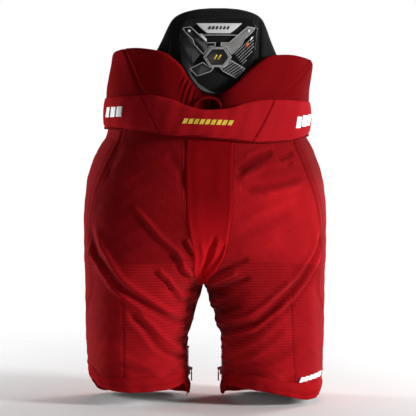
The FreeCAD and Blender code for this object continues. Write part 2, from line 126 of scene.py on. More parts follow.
def hipPoint(degrees, z, depth=0.0):
    a = smooth(hips["halfWidth"], z) - depth
    back, front = smooth(hips["back"], z), smooth(hips["front"], z)
    b = (front + back) / 2 - depth
    middle = (front - back) / 2
    angle = np.radians(degrees)
    r = ovalRadius(angle, a, b, smooth(hips["roundness"], z))
    x, y = r * np.sin(angle), -r * np.cos(angle)
    outer, inner = smooth(legs["outer"], z), smooth(legs["inner"], z)
    centre, half, n = (outer + inner) / 2, (outer - inner) / 2 - depth, legs["roundness"]
    span = hips["saddleTop"] - hips["crotch"]
    fall = np.clip((hips["saddleTop"] - z) / span, 0, 0.99999)
    rounded = hips["saddleRound"]
    tuck = 1 - (1 - fall ** rounded) ** (1 / rounded)
    share = mix(tuck, ease(fall), ease((np.abs(x) - 50) / 60))
    side = np.abs(x) - centre
    turn = np.arctan2(side, np.abs(y))
    grow = 1 + (ovalRadius(turn, half, b, n) / np.maximum(np.hypot(side, y), 1e-6) - 1) * share
    legY = b * np.maximum(0, 1 - np.clip(-side / half, 0, 1) ** n) ** (1 / n)
    out = side > 0
    xNew = np.where(out, np.sign(x) * (centre + side * grow), x)
    yNew = np.where(out, y * grow, y + (np.sign(y) * legY - y) * share)
    return np.stack([xNew, yNew + middle, z + 0 * xNew], -1)


def hipAngle(x, z):
    a = smooth(hips["halfWidth"], z)
    b = (smooth(hips["front"], z) + smooth(hips["back"], z)) / 2
    n = smooth(hips["roundness"], z)
    return np.degrees(np.arctan2(x, b * (1 - np.minimum(x / a, 0.9999) ** n) ** (1 / n)))


def legPoint(degrees, z, depth=0.0):
    outer, inner = smooth(legs["outer"], z), smooth(legs["inner"], z)
    back, front = smooth(legs["back"], z), smooth(legs["front"], z)
    angle = np.radians(degrees)
    r = ovalRadius(angle, (outer - inner) / 2 - depth, (front + back) / 2 - depth, legs["roundness"])
    x = (outer + inner) / 2 + r * np.sin(angle)
    return np.stack([x, (front - back) / 2 - r * np.cos(angle), z + 0 * x], -1)


def waistPoint(degrees, z, axes, out=0.0):
    angle = np.radians(degrees)
    r = ovalRadius(angle, axes[0] + out, axes[1] + out, 2)
    return np.stack([r * np.sin(angle), -r * np.cos(angle), z + 0 * r], -1)


# the upper half stands a little over to the right
lean = [(440, 0), (472, 2), (505, 4), (550, 5), (582, 9.5), (610, 14), (701, 16)]
spineLean = [(528, 14), (701, 23)]


def leaned(points, by=lean):
    points = np.array(points, float)
    points[..., 0] += smooth(by, points[..., 2])
    return points


def drifted(points):
    # the middle seams of the back run a little to the right, and the crotch a little to the left
    points = np.array(points, float)
    x, y, z = points[..., 0], points[..., 1], points[..., 2]
    reach = np.exp(-(x / 110) ** 2) * ease((20 - y) / 60)
    points[..., 0] += reach * mix(-4.0 * ease((z - 60) / 60), 8.0, ease((z - 222) / 50))
    return leaned(points)


def saddleHeight(v, x):
    top, low, start = hips["top"], hips["crotch"], hips["saddleTop"]
    split = 150 / (150 + top - start)
    fall = np.cos(np.radians(90 * np.minimum(1, v / split))) ** (2 / hips["saddleRound"])
    curved = start - (start - low) * fall
    curved = np.where(v > split, mix(start, top, (v - split) / (1 - split)), curved)
    return np.minimum(top, mix(curved, mix(low, top, v), ease((np.abs(x) - 15) / 90)))


# meshes
def addObject(name, verts, faces, uv=None):
    mesh = bpy.data.meshes.new(name)
    mesh.from_pydata((np.asarray(verts) * mm).tolist(), [], faces)
    if uv is not None:
        layer = mesh.uv_layers.new(name="clothMap")
        loops = np.zeros(len(mesh.loops), int)
        mesh.loops.foreach_get("vertex_index", loops)
        layer.data.foreach_set("uv", (np.asarray(uv)[loops] * mm).astype(np.float32).ravel())
    piece = bpy.data.objects.new(name, mesh)
    bpy.context.scene.collection.objects.link(piece)
    mesh.polygons.foreach_set("use_smooth", [True] * len(mesh.polygons))
    mesh.update()
    return piece


def gridFaces(nu, nv, wrapU=False, wrapV=False):
    iu = np.arange(nu if wrapU else nu - 1)
    iv = np.arange(nv if wrapV else nv - 1)
    a, b = np.meshgrid(iu, iv, indexing="ij")
    a2, b2 = (a + 1) % nu, (b + 1) % nv
    return np.stack([a * nv + b, a2 * nv + b, a2 * nv + b2, a * nv + b2], -1).reshape(-1, 4)


def gridUv(points):
    across = np.zeros(points.shape[:2])
    up = np.zeros(points.shape[:2])
    across[1:] = np.cumsum(np.linalg.norm(np.diff(points, axis=0), axis=-1), axis=0)
    up[:, 1:] = np.cumsum(np.linalg.norm(np.diff(points, axis=1), axis=-1), axis=1)
    return np.stack([across, up], -1)


def gridNormals(points):
    du = np.gradient(points, axis=0)
    dv = np.gradient(points, axis=1)
    n = np.cross(du, dv)
    return n / np.maximum(np.linalg.norm(n, axis=-1, keepdims=True), 1e-9)


def pairFaces(nu, nv):
    # faces of two facing grids and of the wall that joins their rims
    count = nu * nv
    grid = gridFaces(nu, nv)
    rim = [i * nv for i in range(nu)] + [(nu - 1) * nv + j for j in range(1, nv)]
    rim += [i * nv + nv - 1 for i in range(nu - 2, -1, -1)] + [j for j in range(nv - 2, 0, -1)]
    wall = [[a, b, b + count, a + count] for a, b in zip(rim, rim[1:] + rim[:1])]
    return np.concatenate([grid, grid[:, ::-1] + count, wall])


def fixNormals(piece):
    bpy.ops.object.select_all(action="DESELECT")
    bpy.context.view_layer.objects.active = piece
    piece.select_set(True)
    bpy.ops.object.mode_set(mode="EDIT")
    bpy.ops.mesh.select_all(action="SELECT")
    bpy.ops.mesh.remove_doubles(threshold=0.00001)
    bpy.ops.mesh.normals_make_consistent(inside=False)
    bpy.ops.object.mode_set(mode="OBJECT")
    piece.select_set(False)
    return piece


def pairSolid(name, outer, inner):
    verts = np.concatenate([outer.reshape(-1, 3), inner.reshape(-1, 3)])
    uv = np.concatenate([gridUv(outer).reshape(-1, 2), gridUv(inner).reshape(-1, 2)])
    return fixNormals(addObject(name, verts, pairFaces(*outer.shape[:2]).tolist(), uv))


def flatMapped(name, verts, faces):
    # a small solid whose cloth map is simply its place seen from the back
    verts = np.concatenate(verts)
    return fixNormals(addObject(name, verts, faces, verts[:, [0, 2]]))


def loopSolid(name, rings):
    # rings[i] is a closed loop of points; the loops are joined in order and the ends filled
    rings = np.asarray(rings)
    nu, nv = rings.shape[:2]
    faces = gridFaces(nu, nv, wrapV=True).tolist()
    verts = np.concatenate([rings.reshape(-1, 3), [rings[0].mean(0), rings[-1].mean(0)]])
    uv = gridUv(rings).reshape(-1, 2)
    uv = np.concatenate([uv, [uv[0], uv[-1]]])
    first, last = nu * nv, nu * nv + 1
    for k in range(nv):
        faces.append([first, k, (k + 1) % nv])
        faces.append([last, (nu - 1) * nv + (k + 1) % nv, (nu - 1) * nv + k])
    return fixNormals(addObject(name, verts, faces, uv))


def setTone(piece, values, key="tone"):
    # one number for each point, which the cloth multiplies its colour or its weave by
    values = np.asarray(values, np.float32).ravel()
    attribute = piece.data.attributes.new(key, "FLOAT", "POINT")
    attribute.data.foreach_set("value", np.ascontiguousarray(np.broadcast_to(values,
                                                                             len(piece.data.vertices))))


def finishPiece(piece, material, body, replaced=()):
    piece.data.materials.clear()
    piece.data.materials.append(material)
    if body:
        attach(piece, body)
    if replaced:
        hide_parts(*replaced)
    return piece


def mirrorPoints(points, side):
    points = np.array(points, float)
    points[..., 0] *= side
    return points


# materials
def newMaterial(name):
    material = bpy.data.materials.new(name)
    material.use_nodes = True
    tree = material.node_tree
    return material, tree, tree.nodes["Principled BSDF"]


def addNode(tree, kind, **values):
    node = tree.nodes.new(kind)
    for key, value in values.items():
        setattr(node, key, value)
    return node


def setSockets(node, values):
    for key, value in values.items():
        node.inputs[key].default_value = value


def mathNode(tree, operation, *values):
    node = addNode(tree, "ShaderNodeMath", operation=operation)
    for socket, value in zip(node.inputs, values):
        if isinstance(value, (int, float)):
            socket.default_value = value
        else:
            tree.links.new(value, socket)
    return node.outputs[0]


def noiseNode(tree, place, scale, detail=2):
    node = addNode(tree, "ShaderNodeTexNoise")
    setSockets(node, {"Scale": scale, "Detail": detail})
    tree.links.new(place.outputs["Object"], node.inputs["Vector"])
    return node.outputs[0]


def rangeNode(tree, source, low, high):
    node = addNode(tree, "ShaderNodeMapRange")
    setSockets(node, {"To Min": low, "To Max": high})
    tree.links.new(source, node.inputs[0])
    return node.outputs[0]


def rampNode(tree, source, dark, light, top=1.0):
    node = addNode(tree, "ShaderNodeValToRGB")
    first, last = node.color_ramp.elements
    first.color, last.color = (*dark, 1), (*light, 1)
    last.position = top
    tree.links.new(source, node.inputs[0])
    return node.outputs[0]


def bumpNode(tree, height, shader, strength, distance):
    node = addNode(tree, "ShaderNodeBump")
    setSockets(node, {"Strength": strength, "Distance": distance})
    tree.links.new(height, node.inputs["Height"])
    tree.links.new(node.outputs[0], shader.inputs["Normal"])


clothLook = {"rough": 0.75, "sheen": 0.0, "tint": (1.0, 0.12, 0.10), "shade": 0.62, "blotch": 0.16,
             "specular": 0.06,
             "depth": 0.0009, "toned": False, "bump": 0.55, "fuzz": 0.35}
hardLook = {"metal": 0.0, "coat": 0.0, "grain": 260, "bump": 0.12, "wear": 0.25, "specular": 0.4}


def clothMaterial(name, colour, weave, **look):
    # each weave row: axis, pitch in metres, slant, strength, and the attribute that masks it
    look = {**clothLook, **look}
    material, tree, shader = newMaterial(name)
    uvMap = addNode(tree, "ShaderNodeUVMap", uv_map="clothMap")
    apart = addNode(tree, "ShaderNodeSeparateXYZ")
    tree.links.new(uvMap.outputs[0], apart.inputs[0])
    place = addNode(tree, "ShaderNodeTexCoord")
    slow = noiseNode(tree, place, 9, 5)
    fine = noiseNode(tree, place, 900)
    parts = []
    for axis, pitch, slant, weight, masked in weave:
        along = apart.outputs[axis]
        if slant:
            along = mathNode(tree, "ADD", along, mathNode(tree, "MULTIPLY", apart.outputs[1 - axis], slant))
        turns = mathNode(tree, "MULTIPLY", along, 2 * math.pi / pitch)
        wave = mathNode(tree, "MULTIPLY_ADD", mathNode(tree, "SINE", turns), 0.5, 0.5)
        part = mathNode(tree, "MULTIPLY", wave, weight)
        if masked:
            mask = addNode(tree, "ShaderNodeAttribute", attribute_name=masked)
            part = mathNode(tree, "MULTIPLY", part, mask.outputs["Fac"])
        parts.append(part)
    parts.append(mathNode(tree, "MULTIPLY", fine, look["fuzz"]))
    height = parts[0]
    for part in parts[1:]:
        height = mathNode(tree, "ADD", height, part)
    bumpNode(tree, height, shader, look["bump"], look["depth"])

    # painted shade darkens the threads between the ribs, and the cloth is a little uneven
    threads = rampNode(tree, height, [c * look["shade"] for c in colour], colour, 0.85)
    shading = rangeNode(tree, slow, 1 - look["blotch"], 1 + look["blotch"])
    # the tone attribute multiplies the colour; on several pieces it holds painted shade and light
    if look["toned"]:
        tone = addNode(tree, "ShaderNodeAttribute", attribute_name="tone")
        shading = mathNode(tree, "MULTIPLY", shading, tone.outputs["Fac"])
    scaled = addNode(tree, "ShaderNodeVectorMath", operation="SCALE")
    tree.links.new(threads, scaled.inputs[0])
    tree.links.new(shading, scaled.inputs["Scale"])
    tree.links.new(scaled.outputs[0], shader.inputs["Base Color"])
    tree.links.new(rangeNode(tree, slow, look["rough"] - 0.08, look["rough"] + 0.1),
                   shader.inputs["Roughness"])
    setSockets(shader, {"Specular IOR Level": look["specular"], "IOR": 1.1, "Sheen Weight": look["sheen"],
                        "Sheen Roughness": 0.45, "Sheen Tint": (*look["tint"], 1)})
    return material


def hardMaterial(name, colour, rough, **look):
    look = {**hardLook, **look}
    material, tree, shader = newMaterial(name)
    place = addNode(tree, "ShaderNodeTexCoord")
    grain = noiseNode(tree, place, look["grain"], 4)
    slow = noiseNode(tree, place, 22)
    dark, light = ([min(1, c * (1 + wear)) for c in colour] for wear in (-look["wear"], look["wear"]))
    tree.links.new(rampNode(tree, slow, dark, light), shader.inputs["Base Color"])
    tree.links.new(rangeNode(tree, grain, max(0.02, rough - 0.06), rough + 0.08), shader.inputs["Roughness"])
    bumpNode(tree, grain, shader, look["bump"], 0.0004)
    setSockets(shader, {"Specular IOR Level": look["specular"], "Metallic": look["metal"],
                        "Coat Weight": look["coat"], "Coat Roughness": 0.12})
    return material


red = (0.46, 0.0095, 0.0145)
shellCloth = clothMaterial(
    "shellCloth", red,
    [(1, 0.0051, 0, 0.75, "ribShare"), (0, 0.0030, 0.06, 0.32, "meshShare"),
     (1, 0.0056, -0.62, 0.5, "diagonalShare"),
     (0, 0.0014, 0, 0.22, None), (1, 0.0014, 0, 0.22, None)], toned=True, depth=0.0013, shade=0.48,
     sheen=0.1, tint=(1.0, 0.35, 0.35), rough=0.68, specular=0.1)
gussetCloth = clothMaterial("gussetCloth", (0.42, 0.006, 0.010),
                            [(0, 0.0012, 0, 0.3, None), (1, 0.0022, 0, 0.4, None)], depth=0.0005, rough=0.58,
                            shade=0.8, toned=True)
beltCloth = clothMaterial("beltCloth", (0.43, 0.010, 0.015),
                          [(1, 0.0021, 0, 0.5, None), (0, 0.0017, 0, 0.3, None)], depth=0.0006, rough=0.66,
                          shade=0.72)
wingCloth = clothMaterial("wingCloth", (0.27, 0.005, 0.0075),
                          [(0, 0.0016, 0, 0.4, None), (1, 0.0016, 0, 0.4, None)], depth=0.0005, rough=0.7,
                          shade=0.75, toned=True)
hemCloth = clothMaterial("hemCloth", (0.36, 0.0075, 0.011),
                         [(1, 0.0026, 0, 0.6, None), (0, 0.0015, 0, 0.3, None)], depth=0.0007, rough=0.66,
                         shade=0.7)
pipingCloth = clothMaterial("pipingCloth", (0.20, 0.005, 0.007), [(0, 0.0012, 0, 0.5, None)], sheen=0.1)
threadCloth = clothMaterial("threadCloth", (0.50, 0.02, 0.025), [(0, 0.0006, 0.6, 0.6, None)], sheen=0.1,
                            rough=0.5)
spineCloth = clothMaterial("spineCloth", (0.020, 0.019, 0.019),
                           [(0, 0.0021, 0.3, 0.5, None), (1, 0.0021, 0, 0.5, None)], tint=(0.8, 0.8, 0.85),
                           sheen=0.04, rough=0.7, depth=0.0007, shade=0.6)
liningCloth = clothMaterial("liningCloth", (0.022, 0.021, 0.022),
                            [(0, 0.0024, 0, 0.5, None), (1, 0.0024, 0, 0.5, None)], tint=(0.8, 0.8, 0.8),
                            rough=0.8, shade=0.5)
foamCloth = clothMaterial("foamCloth", (0.05, 0.05, 0.052),
                          [(0, 0.004, 0, 0.5, None), (1, 0.004, 0, 0.5, None)], tint=(0.8, 0.8, 0.8),
                          rough=0.9, shade=0.6)
strapCloth = clothMaterial("strapCloth", (0.018, 0.017, 0.017),
                           [(0, 0.0016, 0.4, 0.7, None), (1, 0.0032, 0, 0.5, None)], tint=(0.7, 0.7, 0.7),
                           rough=0.55, shade=0.5, depth=0.0006)
tapeCloth = clothMaterial("tapeCloth", (0.30, 0.007, 0.010),
                          [(0, 0.0011, 0, 0.5, None), (1, 0.0018, 0.5, 0.5, None)], sheen=0.1)
plateGloss = hardMaterial("plateGloss", (0.008, 0.0075, 0.008), 0.16, coat=0.25, bump=0.04, grain=420)
# painted reflection: a pale grey that stands for light reflected off the right upper arm
armPaintedReflection = hardMaterial("armPaintedReflection", (0.25, 0.245, 0.24), 0.26, coat=0.3)
plateInset = hardMaterial("plateInset", (0.012, 0.011, 0.012), 0.3, coat=0.1, bump=0.1)
lineGrey = hardMaterial("lineGrey", (0.46, 0.46, 0.455), 0.38, coat=0.2)
badgePale = hardMaterial("badgePale", (0.78, 0.78, 0.79), 0.35, coat=0.3, wear=0.05)
markWhite = hardMaterial("markWhite", (0.86, 0.86, 0.86), 0.5, wear=0.04)
markYellow = hardMaterial("markYellow", (0.86, 0.62, 0.06), 0.45, wear=0.06)
markOrange = hardMaterial("markOrange", (0.80, 0.14, 0.03), 0.45, wear=0.06)
hardBlack = hardMaterial("hardBlack", (0.02, 0.02, 0.021), 0.4, coat=0.1)
guardGrey = hardMaterial("guardGrey", (0.09, 0.09, 0.10), 0.45)
zipMetal = hardMaterial("zipMetal", (0.35, 0.35, 0.36), 0.3, metal=1.0, wear=0.2)
zipRed = hardMaterial("zipRed", (0.30, 0.008, 0.012), 0.4, coat=0.1)
print("materials ready")


# folds: lines of (x, z) with height and half width; negative heights are grooves
folds = {
    -1: [
        ([(-129, 356), (-106, 331), (-82, 301), (-54, 276), (-29, 251)], 2.4, 4.4),
        ([(-122, 352), (-112, 322), (-88, 291), (-60, 266), (-38, 243)], -0.9, 6.0),
        ([(-203, 330), (-199, 296), (-191, 267), (-171, 240), (-154, 217), (-129, 199), (-99, 179),
          (-66, 158), (-36, 144)], -5.0, 4.5),
        ([(-193, 322), (-181, 284), (-163, 253), (-146, 230), (-123, 211), (-94, 191), (-63, 170),
          (-33, 155)], 3.6, 5.5),
        ([(-205, 300), (-200, 268), (-180, 238), (-160, 208), (-133, 188), (-100, 168), (-66, 147)], 2.6,
         5.0),
        ([(-135, 171), (-105, 140), (-83, 111), (-66, 95), (-44, 81), (-37, 62)], -4.0, 4.2),
        ([(-117, 172), (-90, 145), (-70, 121), (-51, 102), (-35, 88)], 3.4, 5.5),
        ([(-140, 160), (-112, 130), (-92, 103), (-74, 86), (-50, 70)], 1.8, 6.0),
        ([(-93, 242), (-65, 220), (-54, 201), (-38, 178)], -2.2, 3.6),
        ([(-84, 246), (-60, 228), (-46, 208), (-32, 186)], 2.4, 4.2),
        ([(-66, 275), (-44, 240), (-20, 222)], -2.4, 3.6),
        ([(-56, 276), (-36, 246), (-18, 230)], 2.6, 4.0),
        ([(-48, 296), (-29, 266)], -2.0, 3.6),
        ([(-40, 300), (-24, 270)], 2.2, 3.6),
        ([(-71, 448), (-48, 413), (-42, 380)], -1.5, 8.0),
        ([(-150, 468), (-168, 420), (-172, 400)], -1.6, 7.0),
        ([(-180, 120), (-130, 80), (-90, 58)], 1.0, 9.0),
        ([(-170, 70), (-120, 52), (-60, 60)], -0.9, 7.0),
    ],
    1: [
        ([(48, 411), (62, 421), (80, 432), (116, 449)], -5.6, 6.2),
        ([(50, 400), (75, 411), (110, 426), (146, 431)], 2.8, 7.0),
        ([(60, 440), (90, 452), (120, 458)], 2.0, 5.0),
        ([(62, 380), (100, 386), (145, 395), (172, 402)], -4.4, 5.5),
        ([(96, 372), (130, 379), (170, 388)], 2.0, 6.5),
        ([(54, 384), (80, 386), (96, 388)], -1.4, 5.0),
        ([(124, 430), (136, 437), (154, 446)], -3.4, 5.5), ([(140, 424), (152, 430)], -1.8, 4.0),
        ([(207, 312), (203, 296), (195, 268), (182, 248), (168, 224), (138, 194), (113, 169), (90, 149),
          (57, 138), (34, 134)], -5.2, 4.2),
        ([(200, 318), (192, 282), (178, 259), (162, 236), (131, 205), (106, 181), (81, 163), (48, 150)], 3.4,
         5.2),
        ([(206, 282), (194, 252), (176, 222), (152, 192), (117, 160), (88, 137), (50, 122)], 3.4, 4.6),
        ([(200, 250), (183, 218), (160, 190), (130, 158)], -1.8, 4.0),
        ([(2, 212), (24, 238), (46, 252), (72, 263)], -4.4, 4.6),
        ([(10, 206), (34, 226), (60, 240)], 2.2, 4.0),
        ([(8, 194), (30, 204), (54, 218), (82, 230)], -4.2, 4.2),
        ([(12, 178), (34, 190), (62, 204)], 2.2, 5.0),
        ([(16, 158), (38, 168), (68, 182)], -4.0, 4.6),
        ([(24, 140), (46, 152), (70, 160)], 2.0, 5.0),
        ([(28, 122), (46, 132), (70, 138)], -2.2, 4.6),
        ([(149, 172), (99, 120), (41, 86)], 2.0, 9.0),
        ([(135, 176), (85, 128), (38, 100)], -1.6, 8.0),
        ([(156, 145), (119, 110), (58, 66)], 1.5, 8.0),
        ([(178, 130), (130, 84), (80, 52)], -1.1, 8.0),
        ([(60, 330), (110, 350), (160, 372)], 1.2, 9.0),
        ([(50, 300), (100, 318), (150, 345)], -0.9, 10.0),
        ([(48, 270), (90, 280), (130, 300)], 1.2, 9.0),
    ],
}
frontFolds = [
    ([(12, 232), (60, 262), (120, 292), (190, 322)], -3.6, 5.5),
    ([(10, 246), (58, 276), (116, 306), (186, 336)], 2.8, 6.5),
    ([(20, 205), (64, 228), (120, 246), (180, 262)], 2.2, 6.5),
    ([(30, 120), (80, 150), (140, 168)], -2.0, 6.0),
    ([(60, 420), (110, 400), (170, 392)], -1.4, 8.0),
    ([(40, 70), (90, 92), (160, 100)], 1.6, 8.0),
]


def lineRelief(x, z, lines):
    total = np.zeros_like(x)
    for points, height, width in lines:
        best = np.full_like(x, 1e9)
        along = np.zeros_like(x)
        lengths = [math.dist(p, q) for p, q in zip(points, points[1:])]
        done, whole = 0.0, sum(lengths)
        for (p, q), length in zip(zip(points, points[1:]), lengths):
            dx, dz = (q[0] - p[0]) / length, (q[1] - p[1]) / length
            t = np.clip((x - p[0]) * dx + (z - p[1]) * dz, 0, length)
            d = np.hypot(x - p[0] - t * dx, z - p[1] - t * dz)
            nearer = d < best
            best = np.where(nearer, d, best)
            along = np.where(nearer, (done + t) / whole, along)
            done += length
        taper = ease(np.minimum(along, 1 - along) * 5 + 0.15)
        total += height * np.exp(-(best / width) ** 2) * taper
    return total


def wrinkle(x, y, z, seed=0.0):
    # slow, uneven swells of cloth over padding
    a = np.sin(x * 0.043 + z * 0.031 + seed) * np.sin(z * 0.052 - x * 0.017 + 1.3 * seed)
    b = np.sin(x * 0.093 - z * 0.071 + y * 0.05 + 2.1 * seed) * np.sin(z * 0.11 + y * 0.06 + seed)
    c = np.sin(z * 0.21 + x * 0.08 + y * 0.13 + seed) * np.sin(x * 0.17 - y * 0.11 + z * 0.05)
    return 0.9 * a + 0.55 * b + 0.25 * c


# outer shell, one fabric tube for each leg that opens out over the hips
# the seat factors paint the left seat darker than the right, as shade
shell = {"columns": (12, 132, 54, 62, 8), "upperRows": 176, "lowerRows": 112, "hemLine": 36.0, "tuck": 2.2,
         "deepest": 3.9, "seatPaintedShade": {-1: 0.74, 1: 0.97}, "stripTone": 0.93, "legTone": 0.87,
         "ribLine": [(0, 262), (60, 256), (190, 250), (217, 246)]}


def shellEdges(z):
    return [hipAngle(0.8, z), hipAngle(smooth(seams["gusset"], z), z), hipAngle(smooth(seams["seat"], z), z),
            0 * z + seams["frontAngle"], 180 - hipAngle(smooth(seams["fly"], z), z), 180 - hipAngle(0.8, z)]


legEdges = [-90.0, -80.0, 80.0, 125.0, 258.0, 270.0]


def columnPlaces():
    places = []
    for k, n in enumerate(shell["columns"]):
        t = np.arange(n) / n
        places += [(k, s) for s in t]
    places.append((len(shell["columns"]) - 1, 1.0))
    return places


def shellGrid():
    places = columnPlaces()
    part = np.array([p[0] for p in places])
    share = np.array([p[1] for p in places])
    v = np.linspace(0, 1, shell["upperRows"])
    grid = np.zeros((len(places), len(v)))
    z = grid + hips["saddleTop"]
    for _ in range(10):
        edges = np.stack(shellEdges(z.ravel()), 0).reshape(6, *z.shape)
        low = np.take_along_axis(edges, part[None, :, None] + 0 * z[None].astype(int), 0)[0]
        high = np.take_along_axis(edges, part[None, :, None] + 1 + 0 * z[None].astype(int), 0)[0]
        degrees = mix(low, high, share[:, None])
        z = saddleHeight(v[None, :], hipPoint(degrees, z)[..., 0])
    upper = hipPoint(degrees, z)
    # the leg goes on from the crotch row, and its columns spread out evenly on the way down
    start = upper[:, 0]
    crotch = hips["crotch"]
    outer, inner, front, back = (smooth(legs[key], crotch) for key in ("outer", "inner", "front", "back"))
    middle = (front - back) / 2
    turn = np.degrees(np.arctan2(start[:, 0] - (outer + inner) / 2, -(start[:, 1] - middle)))
    turn = np.where(np.arange(len(turn)) > len(turn) / 2, np.where(turn < 0, turn + 360, turn), turn)
    edge = np.array(legEdges)
    even = mix(edge[part], edge[part + 1], share)
    zLeg = np.linspace(shell["hemLine"] - 8, crotch, shell["lowerRows"], endpoint=False)
    drop = ease((crotch - zLeg) / 90)
    legDegrees = mix(turn[:, None], even[:, None], drop[None, :])
    lower = legPoint(legDegrees, 0 * legDegrees + zLeg[None, :])
    points = np.concatenate([lower, upper], 1)
    return points, part


basePoints, basePart = shellGrid()
hemLift = {
    -1: [(-200, 38), (-184, 26), (-142, 22), (-100, 22), (-60, 25), (-34, 33)],
    1: [(16, 34), (26, 25), (52, 29), (97, 24), (153, 12), (186, 6), (212, 9)],
}


def lift(points, side):
    # the lower edge of each leg isn't level at the back
    backness = ease((90 - points[..., 1]) / 90)
    low = ease(1 - (points[..., 2] - 10) / 90)
    atZip = ease((58 - np.abs(points[..., 0])) / 24) * ease((points[..., 1] + 50) / 40)
    return smooth(hemLift[side], points[..., 0]) * backness * low * (1 - 0.72 * atZip)


def sculpt(points, side, seed):
    x, y, z = points[..., 0], points[..., 1], points[..., 2]
    back = ease((12 - y) / 45)
    front = ease((y - 20) / 45)
    below = ease((472 - z) / 26)
    relief = 1.35 * lineRelief(x, z, folds[side]) * back
    relief += lineRelief(np.abs(x), z, frontFolds) * front
    relief += wrinkle(x, y, z, seed) * (0.75 + 0.5 * ease((150 - z) / 90))
    return relief * below


def shellPiece(side, name):
    points = mirrorPoints(basePoints, side)
    normals = gridNormals(points) * side
    relief = sculpt(points, side, 0.4 if side > 0 else 2.6)
    x, y, z = points[..., 0], points[..., 1], points[..., 2]
    back = ease((0 - y) / 30)
    centre = ease((1 - np.abs(x) / np.maximum(1.0, smooth(seams["gusset"], z))) * 6)
    flyShare = ease((1 - np.abs(x) / np.maximum(1.0, smooth(seams["fly"], z))) * 6)
    under = np.where(basePart[:, None] == 0, centre, np.where(basePart[:, None] == 4, flyShare, 0))
    under *= ease((z - 207) / 8)
    # sewn seams pinch the padding: side seams, the back seam of each leg, and the seat seam
    for at in (shell["columns"][0] + shell["columns"][1], sum(shell["columns"][:3])):
        gap = np.abs(gridUv(points)[..., 0] - gridUv(points)[at:at + 1, :, 0])
        relief -= 2.0 * np.exp(-(gap / 1.9) ** 2)
        relief += 0.5 * np.exp(-((gap - 6.0) / 3.0) ** 2)
    seamX = np.where(side > 0, 151 + 6 * ease((180 - z) / 140), 142)
    lowerBack = ease((206 - z) / 20) * back
    relief -= 1.8 * np.exp(-((np.abs(x) - seamX) / 1.7) ** 2) * lowerBack
    if side > 0:
        relief -= np.exp(-((np.abs(x) - seamX + 6) / 1.4) ** 2) * lowerBack
    ribLine = smooth(shell["ribLine"], np.abs(x))
    relief -= 1.4 * np.exp(-((z - ribLine) / 1.8) ** 2) * ease((0 - y) / 40) * ease((np.abs(x) - 14) / 12)
    # the legs bunch along the inside and above the hem
    inside = ease((60 - np.abs(x)) / 36) * ease((230 - z) / 30) * mix(1.0, 0.35, ease((y - 10) / 60))
    relief += inside * (1.9 * np.sin(z * 0.19 + y * 0.05 + side) + 1.2 * np.sin(z * 0.33 - y * 0.08))
    relief += 1.6 * ease((70 - z) / 30) * np.sin(x * 0.10 + y * 0.07) * np.sin(z * 0.12)
    relief = np.where(relief < 0, -shell["deepest"] * np.tanh(-relief / shell["deepest"]), relief)
    atZip = ease((26 - np.abs(y - 5)) / 10) * ease((64 - np.abs(x)) / 14) * ease((212 - z) / 8)
    relief = np.where(relief > 0, relief * (1 - atZip), relief)
    # painted shade in the grooves of the folds and painted light on their crests
    shade = np.clip(1 + 0.085 * relief, 0.6, 1.12)
    if side > 0:
        # painted light across the middle of the right seat and painted shade over its upper part
        shade *= 1 + back * (0.2 * np.exp(-((x - 110) / 60) ** 2 - ((z - 335) / 50) ** 2)
                             - 0.34 * ease((z - 378) / 44))
        # painted shade on the back of the right leg's inner side
        shade *= 1 - 0.5 * ease((84 - x) / 50) * ease((218 - z) / 26) * ease((z - 96) / 50) * back
    relief -= under * shell["tuck"] * 1.6
    points = points + normals * relief[..., None]
    points[..., 2] += lift(points, side)
    points[..., 0] = np.where(side * points[..., 0] < 0.35, side * 0.35, points[..., 0])
    points = drifted(points)
    uv = gridUv(points)
    uv[..., 1] = z
    uv[..., 0] -= uv[shell["columns"][0]:shell["columns"][0] + 1, :, 0]
    nu, nv = points.shape[:2]
    faces = gridFaces(nu, nv)
    if side < 0:
        faces = faces[:, ::-1]
    piece = addObject(name, points.reshape(-1, 3), faces.tolist(), uv.reshape(-1, 2))
    ribs = ease((ribLine - z) / 3 + 0.5)
    isStrip = (basePart == 2)[:, None] | (basePart == 3)[:, None]
    isSeat = (basePart <= 1)[:, None] & (z > ribLine)
    onLeg = z < ribLine
    outsideSeam = (np.abs(x) > seamX) & (y < 60)
    ribs = np.where(isStrip & ~onLeg, 0.0, ribs)
    ribs = np.where(onLeg & outsideSeam, 0.25, ribs)
    # the tone carries the painted shade and light above
    values = {"ribShare": ribs, "meshShare": np.where(isSeat, 1.0, 0.0),
              "diagonalShare": np.where(isSeat & (side > 0) & (y < 0), 1.0, 0.0),
              "tone": shade * np.where(isStrip & ~onLeg, shell["stripTone"],
                                       np.where(isSeat, shell["seatPaintedShade"][side], shell["legTone"]))}
    for key, value in values.items():
        setTone(piece, np.broadcast_to(value, z.shape), key)
    piece.data.materials.append(shellCloth)
    word = sideWord[side]
    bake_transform(piece)
    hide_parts(*[word + "_" + n for n in ("seat_panel", "side_panel", "front_panel", "hip_fold",
                                                  "leg_back_panel", "leg_side_panel", "leg_front_panel")])
    return piece, points


shellPieces = {side: shellPiece(side, word + "Shell") for side, word in sideWord.items()}
print("shell sewn")


# gusset down the back and placket down the front, over the shell's edges
def spanPatch(edgeKnots, front):
    columns, rows = 40, 150
    u = np.linspace(-1, 1, columns)
    v = np.linspace(0, 1, rows)
    z = np.zeros((columns, rows)) + 300.0
    for _ in range(10):  # the height and the curve of the saddle settle together
        half = smooth(edgeKnots, z) + 1.2
        degrees = hipAngle(np.abs(u)[:, None] * half, z)
        place = hipPoint(180 - degrees if front else degrees, z)
        z = saddleHeight(v[None, :], place[..., 0])
    place[..., 0] *= np.sign(u)[:, None]
    return place, u


